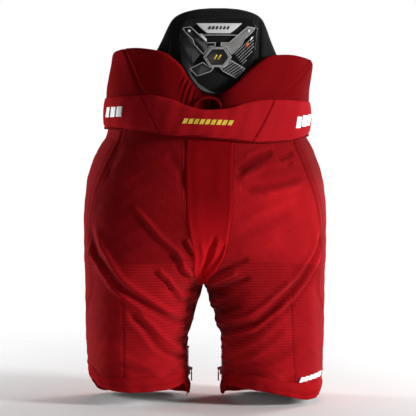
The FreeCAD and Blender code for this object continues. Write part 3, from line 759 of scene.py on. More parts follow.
def gussetPiece():
    points, u = spanPatch(seams["gusset"], False)
    x, z = points[..., 0], points[..., 2]
    normals = gridNormals(points)
    pleats = [
        ([(10, 304), (-1, 271), (-5, 233)], -3.4, 3.4), ([(29, 293), (12, 251), (1, 225)], -3.0, 3.0),
        ([(18, 300), (7, 262), (-1, 228)], 2.2, 3.4), ([(-14, 296), (-10, 262), (-8, 232)], 1.6, 4.0),
        ([(-24, 470), (-20, 380), (-18, 300)], 0.7, 9.0), ([(20, 440), (16, 360)], 0.6, 9.0),
    ]
    relief = lineRelief(x, z, pleats) + 0.25 * wrinkle(x, points[..., 1], z, 1.0)
    edge = 1 - np.abs(u)[:, None]
    relief += 1.2 - 2.6 * np.exp(-(edge / 0.05) ** 2) + 0.5 * np.exp(-((edge - 0.14) / 0.07) ** 2)
    points = points + normals * relief[..., None]
    points = drifted(points)
    piece = addObject("rearGusset", points.reshape(-1, 3), gridFaces(*points.shape[:2]).tolist(),
                      gridUv(points).reshape(-1, 2))
    setTone(piece, 0.66 + 0.78 * ease((380 - z) / 120))  # painted light: brighter towards the crotch
    finishPiece(piece, gussetCloth, "hips", ["rear_gusset"])
    return piece


def placketPiece():
    points, u = spanPatch(seams["fly"], True)
    normals = -gridNormals(points)
    edge = 1 - np.abs(u)[:, None]
    z = points[..., 2]
    relief = 1.0 - 2.4 * np.exp(-(edge / 0.07) ** 2) + 0.3 * wrinkle(points[..., 0], points[..., 1], z, 2.0)
    points = points + normals * relief[..., None]
    points = drifted(points)
    piece = addObject("flyPlacket", points.reshape(-1, 3), gridFaces(*points.shape[:2])[:, ::-1].tolist(),
                      gridUv(points).reshape(-1, 2))
    setTone(piece, 0.85)
    finishPiece(piece, gussetCloth, "hips", ["fly_placket"])
    return piece


gussetPiece()
placketPiece()


def crownedPatch(name, surface, depthOut, depthIn, crown, across=40, up=40, power=6.0):
    # closed pad between two depths of surface(u, v, depth), fuller in the middle
    u = np.linspace(0, 1, across)
    v = np.linspace(0, 1, up)
    U, W = np.meshgrid(u, v, indexing="ij")
    rim = (1 - np.abs(2 * U - 1) ** power) * (1 - np.abs(2 * W - 1) ** power)
    rim = np.clip(rim, 0, 1) ** 0.5
    middle = (depthOut + depthIn) / 2
    outer = surface(U, W, mix(middle, depthOut - crown, rim))
    inner = surface(U, W, mix(middle, depthIn, rim))
    return pairSolid(name, outer, inner)


def flapSurface(u, v, depth):
    z = mix(328.0, 448.0, v)
    edge = hipAngle(smooth(seams["fly"], z) + 3, z)
    return hipPoint(180 + mix(-edge, edge, u), z, depth)


flap = crownedPatch("flyFlap", flapSurface, -3.6, -1.4, 0.8, 30, 60)
setTone(flap, 0.9)
finishPiece(flap, gussetCloth, "fly_flap", ["fly_flap"])
print("gusset and fly sewn")


# belt: one padded band in three pieces with slanted seams
belt = {
    "top": [(-152, 528), (-110, 540), (-78, 544), (-44, 547), (-30, 541), (-14, 527), (-1, 521), (14, 523),
            (29, 533), (46, 539), (75, 537), (95, 535), (152, 526)],
    "bottom": [(-152, 484), (-110, 487), (-75, 488), (-52, 482), (-25, 475), (-8, 474), (16, 469),
               (43, 463.5), (57, 465), (81, 474), (110, 478), (152, 482)],
    "axes": (180.0, 128.6), "thick": 4.2, "crown": 2.2, "seamLow": 34.0, "seamHigh": 49.0, "end": 152.0,
}


def bandSolid(name, angles, low, high, axes, thick, crown, tilt, samples=44, power=5.0, relief=None,
              endRound=4.0, side=1):
    # angles is (bottom, top) pairs for each column; the section is a flattened round
    climb = 0.5 - 0.5 * np.cos(np.arange(samples // 2 + 1) / (samples // 2) * math.pi)
    up = np.concatenate([climb, climb[-2:0:-1]])
    out = np.maximum(0, 1 - np.abs(2 * up - 1) ** power) ** (1 / power)
    out[samples // 2 + 1:] *= -1
    rings = []
    count = len(angles)
    for i, (a0, a1) in enumerate(angles):
        degrees = mix(a0, a1, up)
        turned = degrees * side
        bottom, top = low(turned), high(turned)
        z = mix(bottom, top, up)
        fromEnd = min(i, count - 1 - i)
        full = math.sqrt(1 - (1 - min(1.0, fromEnd / endRound)) ** 2) * 0.75 + 0.25
        swell = thick * out * full + np.where(out > 0, crown * (4 * up * (1 - up)) ** 0.7 * full, 0)
        if relief is not None:
            swell = swell + np.where(out > 0, relief(degrees, z, up), 0)
        point = waistPoint(degrees, z, axes, swell)
        point[:, 2] += tilt * point[:, 0]
        rings.append(leaned(point))
    return loopSolid(name, rings)


def beltRelief(degrees, z, up):
    # the stitched line runs just above the piping, at the same share of the height all round
    ripple = 0.5 * np.sin(degrees * 0.21 + up * 3) + 0.35 * np.sin(degrees * 0.53 - up * 4)
    groove = -1.6 * np.exp(-((up - 0.085) / 0.03) ** 2)
    return ripple + groove


def beltColumns(start, end, count):
    return [(mix(start[0], end[0], t), mix(start[1], end[1], t)) for t in np.linspace(0, 1, count)]


def beltBottom(degrees):
    return smooth(belt["bottom"], degrees)


def beltTop(degrees):
    return smooth(belt["top"], degrees)


lowSeam, highSeam = belt["seamLow"], belt["seamHigh"]
for name, start, end, count, node in (
        ("beltBack", (-lowSeam + 0.06, -highSeam + 0.06), (lowSeam - 0.06, highSeam - 0.06), 150,
         "belt_back"),
        ("rightBeltSide", (lowSeam + 0.06, highSeam + 0.06), (belt["end"],) * 2, 150, "right_belt_side"),
        ("leftBeltSide", (-belt["end"],) * 2, (-lowSeam - 0.06, -highSeam - 0.06), 150, "left_belt_side")):
    piece = bandSolid(name, beltColumns(start, end, count), beltBottom, beltTop, belt["axes"], belt["thick"],
                      belt["crown"], 0.0, power=7.0, relief=beltRelief, endRound=1.6)
    finishPiece(piece, beltCloth, "hips", [node])


def tubeAlong(name, path, radius, sides, flat=1.0):
    path = np.asarray(path, float)
    tangent = np.gradient(path, axis=0)
    tangent /= np.maximum(np.linalg.norm(tangent, axis=1, keepdims=True), 1e-9)
    up = np.array([0.0, 0.0, 1.0])
    side = np.cross(tangent, up)
    weak = np.linalg.norm(side, axis=1) < 0.2
    side[weak] = np.cross(tangent[weak], np.array([0.0, 1.0, 0.0]))
    side /= np.linalg.norm(side, axis=1, keepdims=True)
    over = np.cross(side, tangent)
    phi = np.arange(sides) / sides * 2 * math.pi
    across, up = (np.reshape(turned(phi), (1, -1, 1)) for turned in (np.cos, np.sin))
    return loopSolid(name, path[:, None] + radius * flat * across * side[:, None] + radius * up
                     * over[:, None])


pipingAngles = np.linspace(-belt["end"], belt["end"], 260)
pipingPath = waistPoint(pipingAngles, beltBottom(pipingAngles) + 1.0, belt["axes"], 2.4)
pipingPath = leaned(pipingPath)
piping = tubeAlong("beltPiping", pipingPath, 2.3, 12)
finishPiece(piping, pipingCloth, "hips")
print("belt padded")


# kidney wings
wing = {
    "top": [(0, 549), (5, 550), (10, 554), (20.6, 573), (28, 592), (35, 606), (42, 617), (50, 622), (61, 624),
            (70, 622), (80, 618), (88, 611), (97, 600), (108, 590), (125, 565), (140, 552)],
    "bottom": 504.0, "axes": (175.0, 118.0), "thick": 5.2, "crown": 1.6, "tilt": -0.045, "shift": 3.6,
    "end": 139.0, "loops": 190,
    "seam": {-1: ((68.5, 617.0), (49.0, 543.0)), 1: ((82.0, 616.0), (55.5, 545.0))},
}


def wingPiece(side):
    word = sideWord[side]
    # slanted seam from the top corner down to the belt
    seamTop, seamLow = wing["seam"][side]

    def relief(degrees, z, up):
        turn = np.abs(degrees)
        along = (z - seamLow[1]) / (seamTop[1] - seamLow[1])
        at = mix(seamLow[0], seamTop[0], along)
        distance = (turn - at) * 2.6
        groove = -4.8 * np.exp(-(distance / 2.3) ** 2) + 1.7 * np.exp(-((distance + 6) / 3.6) ** 2)
        groove = groove - 5.0 * ease((15 - turn) / 12)
        gathers = 0.0
        if side < 0:
            near = ease((26 - turn) / 10) * ease((turn - 8) / 4) * ease((590 - z) / 20)
            gathers = near * 1.5 * np.sin(turn * 1.5 + z * 0.16)
        return groove + gathers + 0.9 * np.sin(turn * 0.09 + z * 0.02) + 0.4 * np.sin(turn * 0.31 - z * 0.05)

    start = 0.1 + side * wing["shift"]
    turns = np.linspace(start, wing["end"], wing["loops"])
    angles = [(side * a, side * a) for a in (turns if side > 0 else turns[::-1])]
    piece = bandSolid(word + "KidneyWing", angles, lambda d: wing["bottom"] + 0 * d,
                      lambda d: smooth(wing["top"], d - side * wing["shift"] * ease((62 - d) / 40)),
                      wing["axes"], wing["thick"], wing["crown"], wing["tilt"],
                      samples=84, power=6.0, relief=relief, endRound=1.6, side=side)
    x = np.array([vertex.co.x for vertex in piece.data.vertices]) / mm
    # painted shade: the wings darken towards the V between them, and the right wing is painted darker overall
    setTone(piece, (0.76 if side > 0 else 1.0) * mix(0.16, 1.0, ease((np.abs(x - 12) - 10) / 44)))
    finishPiece(piece, wingCloth, "hips", [word + "_kidney_cover", "kidney_plate", "kidney_foam"])
    return piece


for side in (-1, 1):
    wingPiece(side)


# cloth that closes the space between the two wings, painted nearly black as shade
gapCloth = {"start": -7.0, "end": 9.0, "low": 506.0, "high": 546.0, "axes": (167.5, 110.5)}


def gapSurface(u, v, depth):
    degrees = mix(gapCloth["start"], gapCloth["end"], u)
    return leaned(waistPoint(degrees, mix(gapCloth["low"], gapCloth["high"], v), gapCloth["axes"], -depth))


behindGap = crownedPatch("behindGap", gapSurface, 0.0, 1.4, 0)
# painted shade: the red wing cloth turned nearly black
setTone(behindGap, 0.14)
finishPiece(behindGap, wingCloth, "hips", ())
print("wings padded")


# waistband, lining and the pads inside
def ringBand(name, axes, low, high, thick, gap, material, body, nodes):
    start = math.degrees(math.asin(gap / axes[0]))
    angles = [(a, a) for a in np.linspace(-180 + start, 180 - start, 240)]
    piece = bandSolid(name, angles, lambda d: low + 0 * d, lambda d: high + 0 * d, axes, thick, 0.0, 0.0,
                      samples=28, power=4.0, endRound=3.0)
    return finishPiece(piece, material, body, nodes)


ringBand("waistRing", (161.8, 107.8), 466.5, 504.5, 3.7, 16.0, liningCloth, "hips", ["waistband"])


def sidePatch(name, surface, depths, crown, material, bodies, nodes, across=36, up=36):
    for side in (-1, 1):
        word = sideWord[side]

        def placed(u, v, depth):
            return mirrorPoints(surface(u, v, depth), side)
        piece = crownedPatch(word + name, placed, depths[0], depths[1], crown, across, up)
        chosen = [n.replace("SIDE", word) for n in nodes]
        finishPiece(piece, material, bodies.replace("SIDE", word), chosen)


def hipSpan(a0, a1, z0, z1):
    return lambda u, v, depth: hipPoint(mix(a0, a1, u), mix(z0, z1, v), depth)


def legSpan(a0, a1, z0, z1, sunk=0.0):
    def surface(u, v, depth):
        z = mix(z0, z1, v)
        return legPoint(mix(a0, a1, u), z, depth + sunk * ease((z - 185) / 70))
    return surface


hipPad = {"radius": 205.0, "behind": 50, "ahead": 62}
narrow = 90 - math.degrees(math.asin(hipPad["behind"] / hipPad["radius"])) + 1
wide = 90 + math.degrees(math.asin(hipPad["ahead"] / hipPad["radius"])) - 1
sidePatch("HipFoam", hipSpan(narrow, wide, 245.0, 428.0), (8.0, 16.8), 0, foamCloth, "hips",
          ["hip_guard_foam"])
sidePatch("SeatPad", hipSpan(31.0, 56.0, 312.0, 440.0), (6.0, 12.6), 0, foamCloth, "hips",
          ["seat_pads"])
sidePatch("SeatLining", hipSpan(0.3, 104.0, 302.0, 464.0), (18.2, 20.0), 0, liningCloth, "hips",
          ["seat_lining"], 60, 40)
tail = crownedPatch("tailboneFoam", hipSpan(-24.0, 24.0, 310.0, 442.0), 7.6, 16.8, 0)
finishPiece(tail, foamCloth, "hips", ["tailbone_guard_foam"])
sidePatch("ThighFoam", legSpan(134.0, 220.0, 24.0, 246.0, 9.0), (7.6, 16.8), 0, foamCloth, "SIDE_leg",
          ["SIDE_thigh_foam"])
sidePatch("BackThighPad", legSpan(-48.0, 12.0, 46.0, 186.0), (6.4, 12.0), 0, foamCloth, "SIDE_leg",
          ["SIDE_thigh_foam"])
for name, start, end in (("LegLiningOuter", -81.0, 82.0), ("LegLiningInner", 83.0, 246.0)):
    sidePatch(name, legSpan(start, end, 36.0, 198.0), (18.2, 20.0), 0, liningCloth, "SIDE_leg",
              ["SIDE_leg_lining"], 60, 40)
print("inner pads ready")


# hems
hem = {"low": 3.0, "high": 33.0, "thick": 2.6, "gapDegrees": 7.0, "samples": 26, "loops": 260, "floor": 0.2}


def hemPiece(side):
    word = sideWord[side]
    phi = np.arange(hem["samples"]) / hem["samples"] * 2 * math.pi
    c, s = np.cos(phi), np.sin(phi)
    up = 0.5 + 0.5 * np.sign(s) * np.abs(s) ** (2 / 4.0)
    out = np.sign(c) * np.abs(c) ** (2 / 3.0)
    z = mix(hem["low"], hem["high"], up)
    rings = []
    for a in np.linspace(-90 + hem["gapDegrees"], 270 - hem["gapDegrees"], hem["loops"]):
        swell = hem["thick"] * out + 1.3 + 1.1 * np.sin(a * 0.13 + up * 2 + side) * (1 - 0.4 * up)
        swell = swell + 0.8 * np.sin(a * 0.37 + side) * (1 - up) - 1.6 * np.exp(-((up - 0.9) / 0.08) ** 2)
        inner = max(0.0, 1 - min(abs(a + 90), abs(a - 270)) / 26.0)
        swell = swell + inner * 3.2 * (1 - np.abs(2 * up - 1))
        rings.append(legPoint(a + 0 * z, z, 1.6 - swell))
    rings = mirrorPoints(rings, side)
    rings[..., 2] += lift(rings, side) + 0.8 * np.sin(rings[..., 0] * 0.06) * ease((30 - rings[..., 2]) / 30)
    rings[..., 2] = np.maximum(rings[..., 2], hem["floor"])
    piece = loopSolid(word + "Hem", rings)
    return finishPiece(piece, hemCloth, word + "_leg", [word + "_hem_binding"])


for side in (-1, 1):
    hemPiece(side)
print("hems bound")


# spine guard
spine = {
    "halfWidth": [(528, 87), (560, 111), (600, 118), (618, 108), (645, 95), (662, 88), (676, 81), (684, 74),
                  (690, 63), (694, 50), (697, 34), (698.5, 14)],
    "low": 528.0, "high": 698.5, "axes": (157.0, 103.0), "thick": 20.0, "middle": 612.7, "shift": 3.5,
    "grid": (110, 110), "rimDepth": -9.0, "arch": 0.0009, "flapFold": 76, "flapCrest": 84,
}
web = {"grid": (90, 26), "reach": 16, "low": 500, "high": 534, "outer": (150.6, 96.6), "inner": (149.0, 95.0)}


def spinePlace(x, z, out):
    a, b = spine["axes"][0] + out, spine["axes"][1] + out
    y = -b * np.sqrt(np.maximum(0.02, 1 - (x / a) ** 2))
    return leaned(np.stack([x, y, z + 0 * x], -1), spineLean)


def platePlace(x, z, out):
    return spinePlace(x + spine["shift"], z + spine["middle"], out)


def spinePad():
    nu, nv = spine["grid"]
    u = np.linspace(-1, 1, nu)[:, None]
    v = np.linspace(0, 1, nv)[None, :]
    z = mix(spine["low"], spine["high"], v) + 0 * u
    x = u * smooth(spine["halfWidth"], z)
    rim = np.clip((1 - np.abs(u) ** 10) * (1 - np.clip(2 * v - 1, 0, 1) ** 12)
                  * (1 - np.clip(1 - 2 * v, 0, 1) ** 20), 0, 1) ** 0.5
    arched = z + spine["arch"] * x ** 2
    top = arched - 701
    relief = 4.0 * np.exp(-((top + 9) / 8.0) ** 2)  # rolled upper rim
    # side flap folds
    relief -= 3.4 * np.exp(-((np.abs(x) - spine["flapFold"] + (z - 600) * 0.03) / 3.2) ** 2) * ease((690
        - z) / 20)
    relief += 2.0 * np.exp(-((np.abs(x) - spine["flapCrest"]) / 5.0) ** 2) * ease((680 - z) / 20)
    relief -= 1.6 * np.exp(-((arched - 676) / 3.0) ** 2) * ease((np.abs(x) - 50) / 20)
    relief += 0.35 * wrinkle(x * 1.6, 0 * x, z * 1.4, 3.0)
    outer = spinePlace(x, z, mix(spine["rimDepth"], 0.0, rim) + relief * rim)
    inner = spinePlace(x, z, mix(spine["rimDepth"], -spine["thick"], rim))
    piece = pairSolid("spinePad", outer, inner)
    return finishPiece(piece, spineCloth, "spine_guard", ["spine_pad"])


spinePad()


def insidePolygon(x, z, outline):
    inside = np.zeros(x.shape, bool)
    for (x0, z0), (x1, z1) in zip(outline, outline[1:] + outline[:1]):
        crosses = ((z0 > z) != (z1 > z)) & (x < (x1 - x0) * (z - z0) / ((z1 - z0) or 1e-9) + x0)
        inside ^= crosses
    return inside


def slab(name, outline, low, high, bevel=1.0, rings=3):
    # flat outline in (x, z) from the emblem's centre, moulded onto the pad with a rounded edge
    outline = [np.array(p, float) for p in outline]
    dense = []
    for p, q in zip(outline, outline[1:] + outline[:1]):
        steps = max(1, int(np.linalg.norm(q - p) / 10 * 4))
        dense += [p + (q - p) * k / steps for k in range(steps)]
    dense = np.array(dense)
    centre = dense.mean(0)
    n = len(dense)
    loops = []
    inward = centre - dense
    inward /= np.maximum(np.linalg.norm(inward, axis=1, keepdims=True), 1e-9)
    levels = [(0.0, low), (0.0, high - bevel)]
    for k in range(1, rings + 1):
        t = k / rings * math.pi / 2
        levels.append((bevel * (1 - math.cos(t)), high - bevel + bevel * math.sin(t)))
    for inset, out in levels:
        flat = dense + inward * inset
        loops.append(platePlace(flat[:, 0], flat[:, 1], out))
    faces = gridFaces(len(levels), n, wrapV=True).tolist()
    top = [(len(levels) - 1) * n + k for k in range(n)]
    faces.append(top)
    faces.append(list(range(n))[::-1])
    return flatMapped(name, loops, faces)


def ribbonVerts(points, width, low, high, closed):
    points = np.array(points, float)
    dense = []
    pairs = list(zip(points, np.roll(points, -1, 0))) if closed else list(zip(points[:-1], points[1:]))
    for p, q in pairs:
        steps = max(1, int(np.linalg.norm(q - p) / 3))
        dense += [p + (q - p) * k / steps for k in range(steps)]
    if not closed:
        dense.append(points[-1])
    dense = np.array(dense)
    if closed:
        tangent = np.roll(dense, -1, 0) - np.roll(dense, 1, 0)
    else:
        tangent = np.gradient(dense, axis=0)
    tangent /= np.maximum(np.linalg.norm(tangent, axis=1, keepdims=True), 1e-9)
    side = np.stack([-tangent[:, 1], tangent[:, 0]], 1) * width / 2
    shoulder = mix(low, high, 0.7)
    section = [(-1, low), (-1, shoulder), (-0.6, high), (0.6, high), (1, shoulder), (1, low)]
    loops = [platePlace(dense[:, 0] + side[:, 0] * s, dense[:, 1] + side[:, 1] * s, out)
             for s, out in section]
    return np.stack(loops, 1)


def ribbonPiece(name, lines, width, low, high):
    verts, faces, start = [], [], 0
    for points, closed in lines:
        rings = ribbonVerts(points, width, low, high, closed)
        nu, nv = rings.shape[:2]
        faces += (gridFaces(nu, nv, wrapU=closed, wrapV=True) + start).tolist()
        if not closed:
            faces.append([start + k for k in range(nv)])
            faces.append([start + (nu - 1) * nv + k for k in range(nv)][::-1])
        verts.append(rings.reshape(-1, 3))
        start += nu * nv
    return flatMapped(name, verts, faces)


plateOutline = [(-58, 67), (-40, 69), (40, 69), (58, 67), (68, 50), (66, 10), (60, -30), (46, -60),
                (24, -80), (-24, -80),
                (-46, -60), (-60, -30), (-66, 10), (-68, 50)]
finishPiece(slab("spinePlate", plateOutline, -1.0, 3.2, 1.6, 4), plateGloss, "spine_guard",
            ["spine_plate"])
upperArm = [(-63, 51), (-50, 53), (-19, 25), (-5, 25), (-5, 19.5), (-14, 18.6), (-24.5, 4.7), (-41.5, 22),
            (-44.7, 31),
            (-58.6, 44)]
lowerArmLeft = [(-47, -20), (-34, -33), (-11, -25), (-5.6, -18.6), (-14, -17), (-25, -9)]
lowerArmRight = [(5, -18), (12, -25), (34, -36), (50, -21), (24, -5.5), (13, -17)]
arms = [upperArm, [(-x, z) for x, z in upperArm], lowerArmLeft, lowerArmRight]
# the second upper arm, on the right, gets the pale painted reflection
for k, outline in enumerate(arms):
    piece = slab("spineArm%d" % (k + 1), outline, 2.6, 4.3, 0.8)
    finishPiece(piece, (plateGloss, armPaintedReflection, plateInset, plateInset)[k], "spine_guard",
                ["spine_arms"])
outlines = [(outline, True) for outline in arms]
outlines.append(([(-34, 38), (-18, 38.5), (18, 38.5), (34, 38)], False))
piece = ribbonPiece("armOutlines", outlines, 1.5, 3.4, 5.0)
finishPiece(piece, lineGrey, "spine_guard", ["spine_arms"])


def hatch(outline, pitch, slope):
    lines = []
    length = math.hypot(1, slope)
    dx, dz = 1 / length, slope / length
    for k in range(-60, 60):
        ox, oz = -dz * k * pitch, dx * k * pitch
        t = np.linspace(-120, 120, 961)
        x, z = ox + dx * t, oz + dz * t
        keep = insidePolygon(x, z, outline)
        if keep.sum() > 12:
            where = np.flatnonzero(keep)
            a, b = where[0], where[-1]
            lines.append(([(x[a], z[a]), (x[b], z[b])], False))
    return lines


fieldRight = [(28, 6.5), (61, 37.6), (63, 15), (45, -15)]
fieldLeft = [(-28, 6.5), (-61, 37.6), (-63, 15), (-45, -15)]
hatching = hatch(fieldRight, 4.4, 1.0) + hatch(lowerArmRight, 4.4, 0.7)
finishPiece(ribbonPiece("plateHatching", hatching, 1.0, 2.8, 4.9), lineGrey, "spine_guard")
piece = slab("leftField", fieldLeft, 2.4, 3.7, 0.6)
finishPiece(piece, plateInset, "spine_guard")


def hexagon(radius, squash=0.8):
    return [(radius * math.cos(math.radians(60 * k)),
             radius * squash * math.sin(math.radians(60 * k))) for k in range(6)]


piece = ribbonPiece("emblemRing", [(hexagon(21.0), True), (hexagon(24.0), True)], 1.7, 3.2, 6.0)
finishPiece(piece, lineGrey, "spine_guard", ["spine_emblem"])
piece = slab("emblemCap", hexagon(19.5), 3.0, 6.4, 1.8, 4)
finishPiece(piece, plateInset, "spine_guard", ["spine_emblem"])
badge = [(-40, 59), (40, 59), (31, 50), (20, 41.5), (-20, 41.5), (-31, 50)]
finishPiece(slab("spineBadge", badge, 2.8, 4.6, 0.8), badgePale, "spine_guard",
            ["spine_badge"])
bars = [([(x - 1.5, 48.5), (x + 1.5, 53.5)], False) for x in (-16, -9.6, -3.2, 3.2, 9.6, 16)]
finishPiece(ribbonPiece("badgeBars", bars, 3.4, 4.4, 5.0), plateInset, "spine_guard")
emblemRows = [([(-6, -4), (-1, 4)], False), ([(1, -4), (6, 4)], False)]
finishPiece(ribbonPiece("emblemBars", emblemRows, 2.8, 6.2, 6.9), markYellow, "spine_guard")
finishPiece(ribbonPiece("orangeDash", [([(49.5, 18), (52.5, 25)], False)], 4.0, 4.6, 5.3), markOrange,
            "spine_guard")
finishPiece(ribbonPiece("paleDash", [([(55, 29), (59.5, 35)], False)], 3.0, 4.6, 5.3), badgePale,
            "spine_guard")


def dome(name, x, z, radius, low, high):
    rings = []
    for t in np.linspace(0, 1, 7):
        r = radius * math.cos(t * math.pi / 2 * 0.98)
        phi = np.arange(20) / 20 * 2 * math.pi
        out = mix(low, high, math.sin(t * math.pi / 2))
        rings.append(platePlace(x + r * np.cos(phi), z + r * np.sin(phi), out))
    return loopSolid(name, rings)


# painted highlight: a pale streak that stands for a reflection on the glossy plate
shine = [(-36, 40), (-22, 24), (-20, 31), (-29, 41)]
finishPiece(slab("plateShine", shine, 2.6, 3.5, 0.4), badgePale, "spine_guard")


for k, side in enumerate((-1, 1)):
    finishPiece(dome("rivet%d" % (k + 1), side * 52, 46, 2.6, 4.0, 6.2), badgePale, "spine_guard",
                ["spine_arms"])


def elasticPiece():
    nu, nv = web["grid"]
    degrees = np.linspace(-web["reach"], web["reach"], nu)[:, None]
    z = np.linspace(web["low"], web["high"], nv)[None, :] + 0 * degrees
    ribs = 0.5 * np.sin(degrees * 14)
    outer = waistPoint(degrees + 0 * z, z, web["outer"], ribs + 0 * z)
    inner = waistPoint(degrees + 0 * z, z, web["inner"], -ribs * 0.4 + 0 * z)
    verts = np.concatenate([outer.reshape(-1, 3), inner.reshape(-1, 3)])
    uv = np.concatenate([gridUv(outer).reshape(-1, 2)] * 2)
    piece = fixNormals(addObject("spineElastic", verts, pairFaces(nu, nv).tolist(), uv))
    piece.data.materials.append(strapCloth)
    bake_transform(piece)
    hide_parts("spine_elastic")


elasticPiece()
print("spine guard moulded")


# hang loop
t = np.linspace(0, math.pi, 60)
loopPath = np.stack([1.5 + 21.5 * np.cos(t), -126.6 + 0 * t, 524.5 + 17.5 * np.sin(t) ** 0.8], 1)
loop = tubeAlong("hangLoop", leaned(loopPath), 2.3, 14, flat=0.8)
finishPiece(loop, pipingCloth, "hang_loop", ["hang_loop"])


# printed marks, kept as plain slanted bars
def surfaceBars(name, place, rows, material, body, thick=0.5):
    # rows holds (x, z, width, height, slant); place(x, z, out) gives the surface
    verts, faces, start = [], [], 0
    for x, z, width, height, slant in rows:
        nu, nv = max(3, int(width / 1.5)), 6
        u = np.linspace(-0.5, 0.5, nu)[:, None]
        v = np.linspace(-0.5, 0.5, nv)[None, :]
        px = x + u * width + v * height * slant
        pz = z + v * height + 0 * u
        for out in (thick, -1.5):
            verts.append(place(px, pz, out).reshape(-1, 3))
        faces += (pairFaces(nu, nv) + start).tolist()
        start += 2 * nu * nv
    piece = flatMapped(name, verts, faces)
    piece.data.polygons.foreach_set("use_smooth", [False] * len(piece.data.polygons))
    return finishPiece(piece, material, body)


def onBelt(x, z, out):
    a, b = belt["axes"]
    turn = np.degrees(np.arctan2(x, b * np.sqrt(np.maximum(1e-4, 1 - (x / (a + 7)) ** 2))))
    low, high = beltBottom(turn), beltTop(turn)
    up = np.clip((z - low) / (high - low), 0.02, 0.98)
    swell = belt["thick"] + belt["crown"] * (4 * up * (1 - up)) ** 0.7 + beltRelief(turn, z, up)
    return leaned(waistPoint(turn, z, (a, b), swell + out))


yellowBars = [(x, 500 - 0.04 * x, 6.8, 8.6, 0.42) for x in np.linspace(-36, 39, 9)]
surfaceBars("beltMark", onBelt, yellowBars, markYellow, "hips", 1.1)
leftBars = [(-176, 517, 6, 18, 0.12), (-165.5, 517.5, 9, 18, 0.12), (-152.5, 518, 10, 18, 0.12)]
rightBars = [(160, 499, 10, 20, 0.12), (172, 501.5, 9, 20, 0.12), (181.5, 503.5, 6, 20, 0.12)]
surfaceBars("leftBeltMark", onBelt, leftBars, markWhite, "hips", 1.1)
surfaceBars("rightBeltMark", onBelt, rightBars, markWhite, "hips", 1.1)


def onRightLeg(x, z, out):
    outer, inner = smooth(legs["outer"], z), smooth(legs["inner"], z)
    back, front = smooth(legs["back"], z), smooth(legs["front"], z)
    centre, half, b = (outer + inner) / 2, (outer - inner) / 2, (front + back) / 2
    n = legs["roundness"]
    y = (front - back) / 2 - b * np.maximum(0.004,
                                            1 - np.minimum(0.999, np.abs(x - centre) / half) ** n) ** (1 / n)
    turn = np.degrees(np.arctan2(x - centre, -(y - (front - back) / 2)))
    return legPoint(turn, z, -out - 1.3)


legBars = [(x, 46 + 0.17 * (x - 168), 6.4, 9, 0.45) for x in (170, 178, 186, 194, 201.5)]
surfaceBars("legMark", onRightLeg, legBars, markWhite, "right_leg", 1.4)
print("marks laid")


# zip tapes
tape = {"low": 4.0, "high": 203.0, "middle": 5, "halfWidth": 10.4, "thick": 1.2}


def tapePiece(side):
    word = sideWord[side]

    def surface(u, v, depth):
        z = mix(tape["low"], tape["high"], v)
        reach = smooth(legs["inner"], z) + 1.0
        ridge = 0.5 * np.exp(-((np.abs(u - 0.5) - 0.2) / 0.05) ** 2)
        points = np.stack([reach + depth - ridge, tape["middle"]
                           + mix(-tape["halfWidth"], tape["halfWidth"], u), z], -1)
        return mirrorPoints(points, side)
    piece = crownedPatch(word + "ZipTape", surface, 0.0, tape["thick"], 0.0, 24, 120, 14.0)
    finishPiece(piece, tapeCloth, word + "_leg", [word + "_zip_tape"])


for side in (-1, 1):
    tapePiece(side)


# front straps
strap = {"middle": 505, "halfWidth": 12.5, "face": 128.4, "thick": 1.6,
         "ends": {-1: (-84, -21), 1: (-16, 84)}}


def strapPiece(side):
    word = sideWord[side]

    def surface(u, v, depth):
        x = mix(*strap["ends"][side], u)
        z = strap["middle"] + mix(-strap["halfWidth"], strap["halfWidth"], v)
        over = np.clip(np.abs(x) - 58, 0, 30)
        y = strap["face"] - depth - over * 0.02
        return np.stack([x, y, z], -1)
    piece = crownedPatch(word + "Strap", surface, 0.0, strap["thick"], 0.15, 90, 26, 14.0)
    finishPiece(piece, strapCloth, "hips", [word + "_strap"])


for side in (-1, 1):
    strapPiece(side)


# stitching
stitch = {"length": 3.0, "pitch": 4.6, "radius": 0.42}


def stitchRow(path, normals):
    length, pitch, radius = stitch["length"], stitch["pitch"], stitch["radius"]
    path = np.asarray(path, float)
    steps = np.r_[0, np.cumsum(np.linalg.norm(np.diff(path, axis=0), axis=1))]
    made = []
    for s in np.arange(pitch / 2, steps[-1] - length, pitch):
        a = np.array([np.interp(s, steps, path[:, k]) for k in range(3)])
        b = np.array([np.interp(s + length, steps, path[:, k]) for k in range(3)])
        n = np.array([np.interp(s, steps, normals[:, k]) for k in range(3)])
        n /= np.linalg.norm(n)
        along = (b - a) / np.linalg.norm(b - a)
        side = np.cross(n, along)
        phi = np.arange(6) / 6 * 2 * math.pi
        for t, size in ((0.0, 0.25), (0.2, 1.0), (0.8, 1.0), (1.0, 0.25)):
            centre = a + (b - a) * t + n * radius * (1.1 * size - 0.5)
            made.append(centre + radius * size * (np.cos(phi)[:, None] * side + np.sin(phi)[:, None] * n))
    return np.array(made).reshape(-1, 4, 6, 3)


def stitchPiece(name, rows):
    stitches = np.concatenate([r for r in rows if len(r)])
    count = len(stitches)
    one = gridFaces(4, 6, wrapV=True).tolist() + [[0, 1, 2, 3, 4, 5], [23, 22, 21, 20, 19, 18]]
    faces = [[i + 24 * k for i in f] for k in range(count) for f in one]
    verts = stitches.reshape(-1, 3)
    return addObject(name, verts, faces, verts[:, [0, 2]])


for side, word in sideWord.items():
    surface = shellPieces[side][1]
    normal = gridNormals(surface) * side
    first, seat, frontSeam = shell["columns"][0], sum(shell["columns"][:2]), sum(shell["columns"][:3])
    rows = []
    lowRows = shell["lowerRows"]
    top = lowRows + int(shell["upperRows"] * 0.9)
    for column in (first + 3, seat - 3, seat + 4, frontSeam - 4, frontSeam + 4,
                   sum(shell["columns"][:4]) - 4):
        bottom = lowRows + 6 if column == first + 3 else 6
        rows.append(stitchRow(surface[column, bottom:top], normal[column, bottom:top]))
    piece = stitchPiece(word + "ShellStitches", rows)
    piece.data.materials.append(threadCloth)
    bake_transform(piece)
print("stitching done")


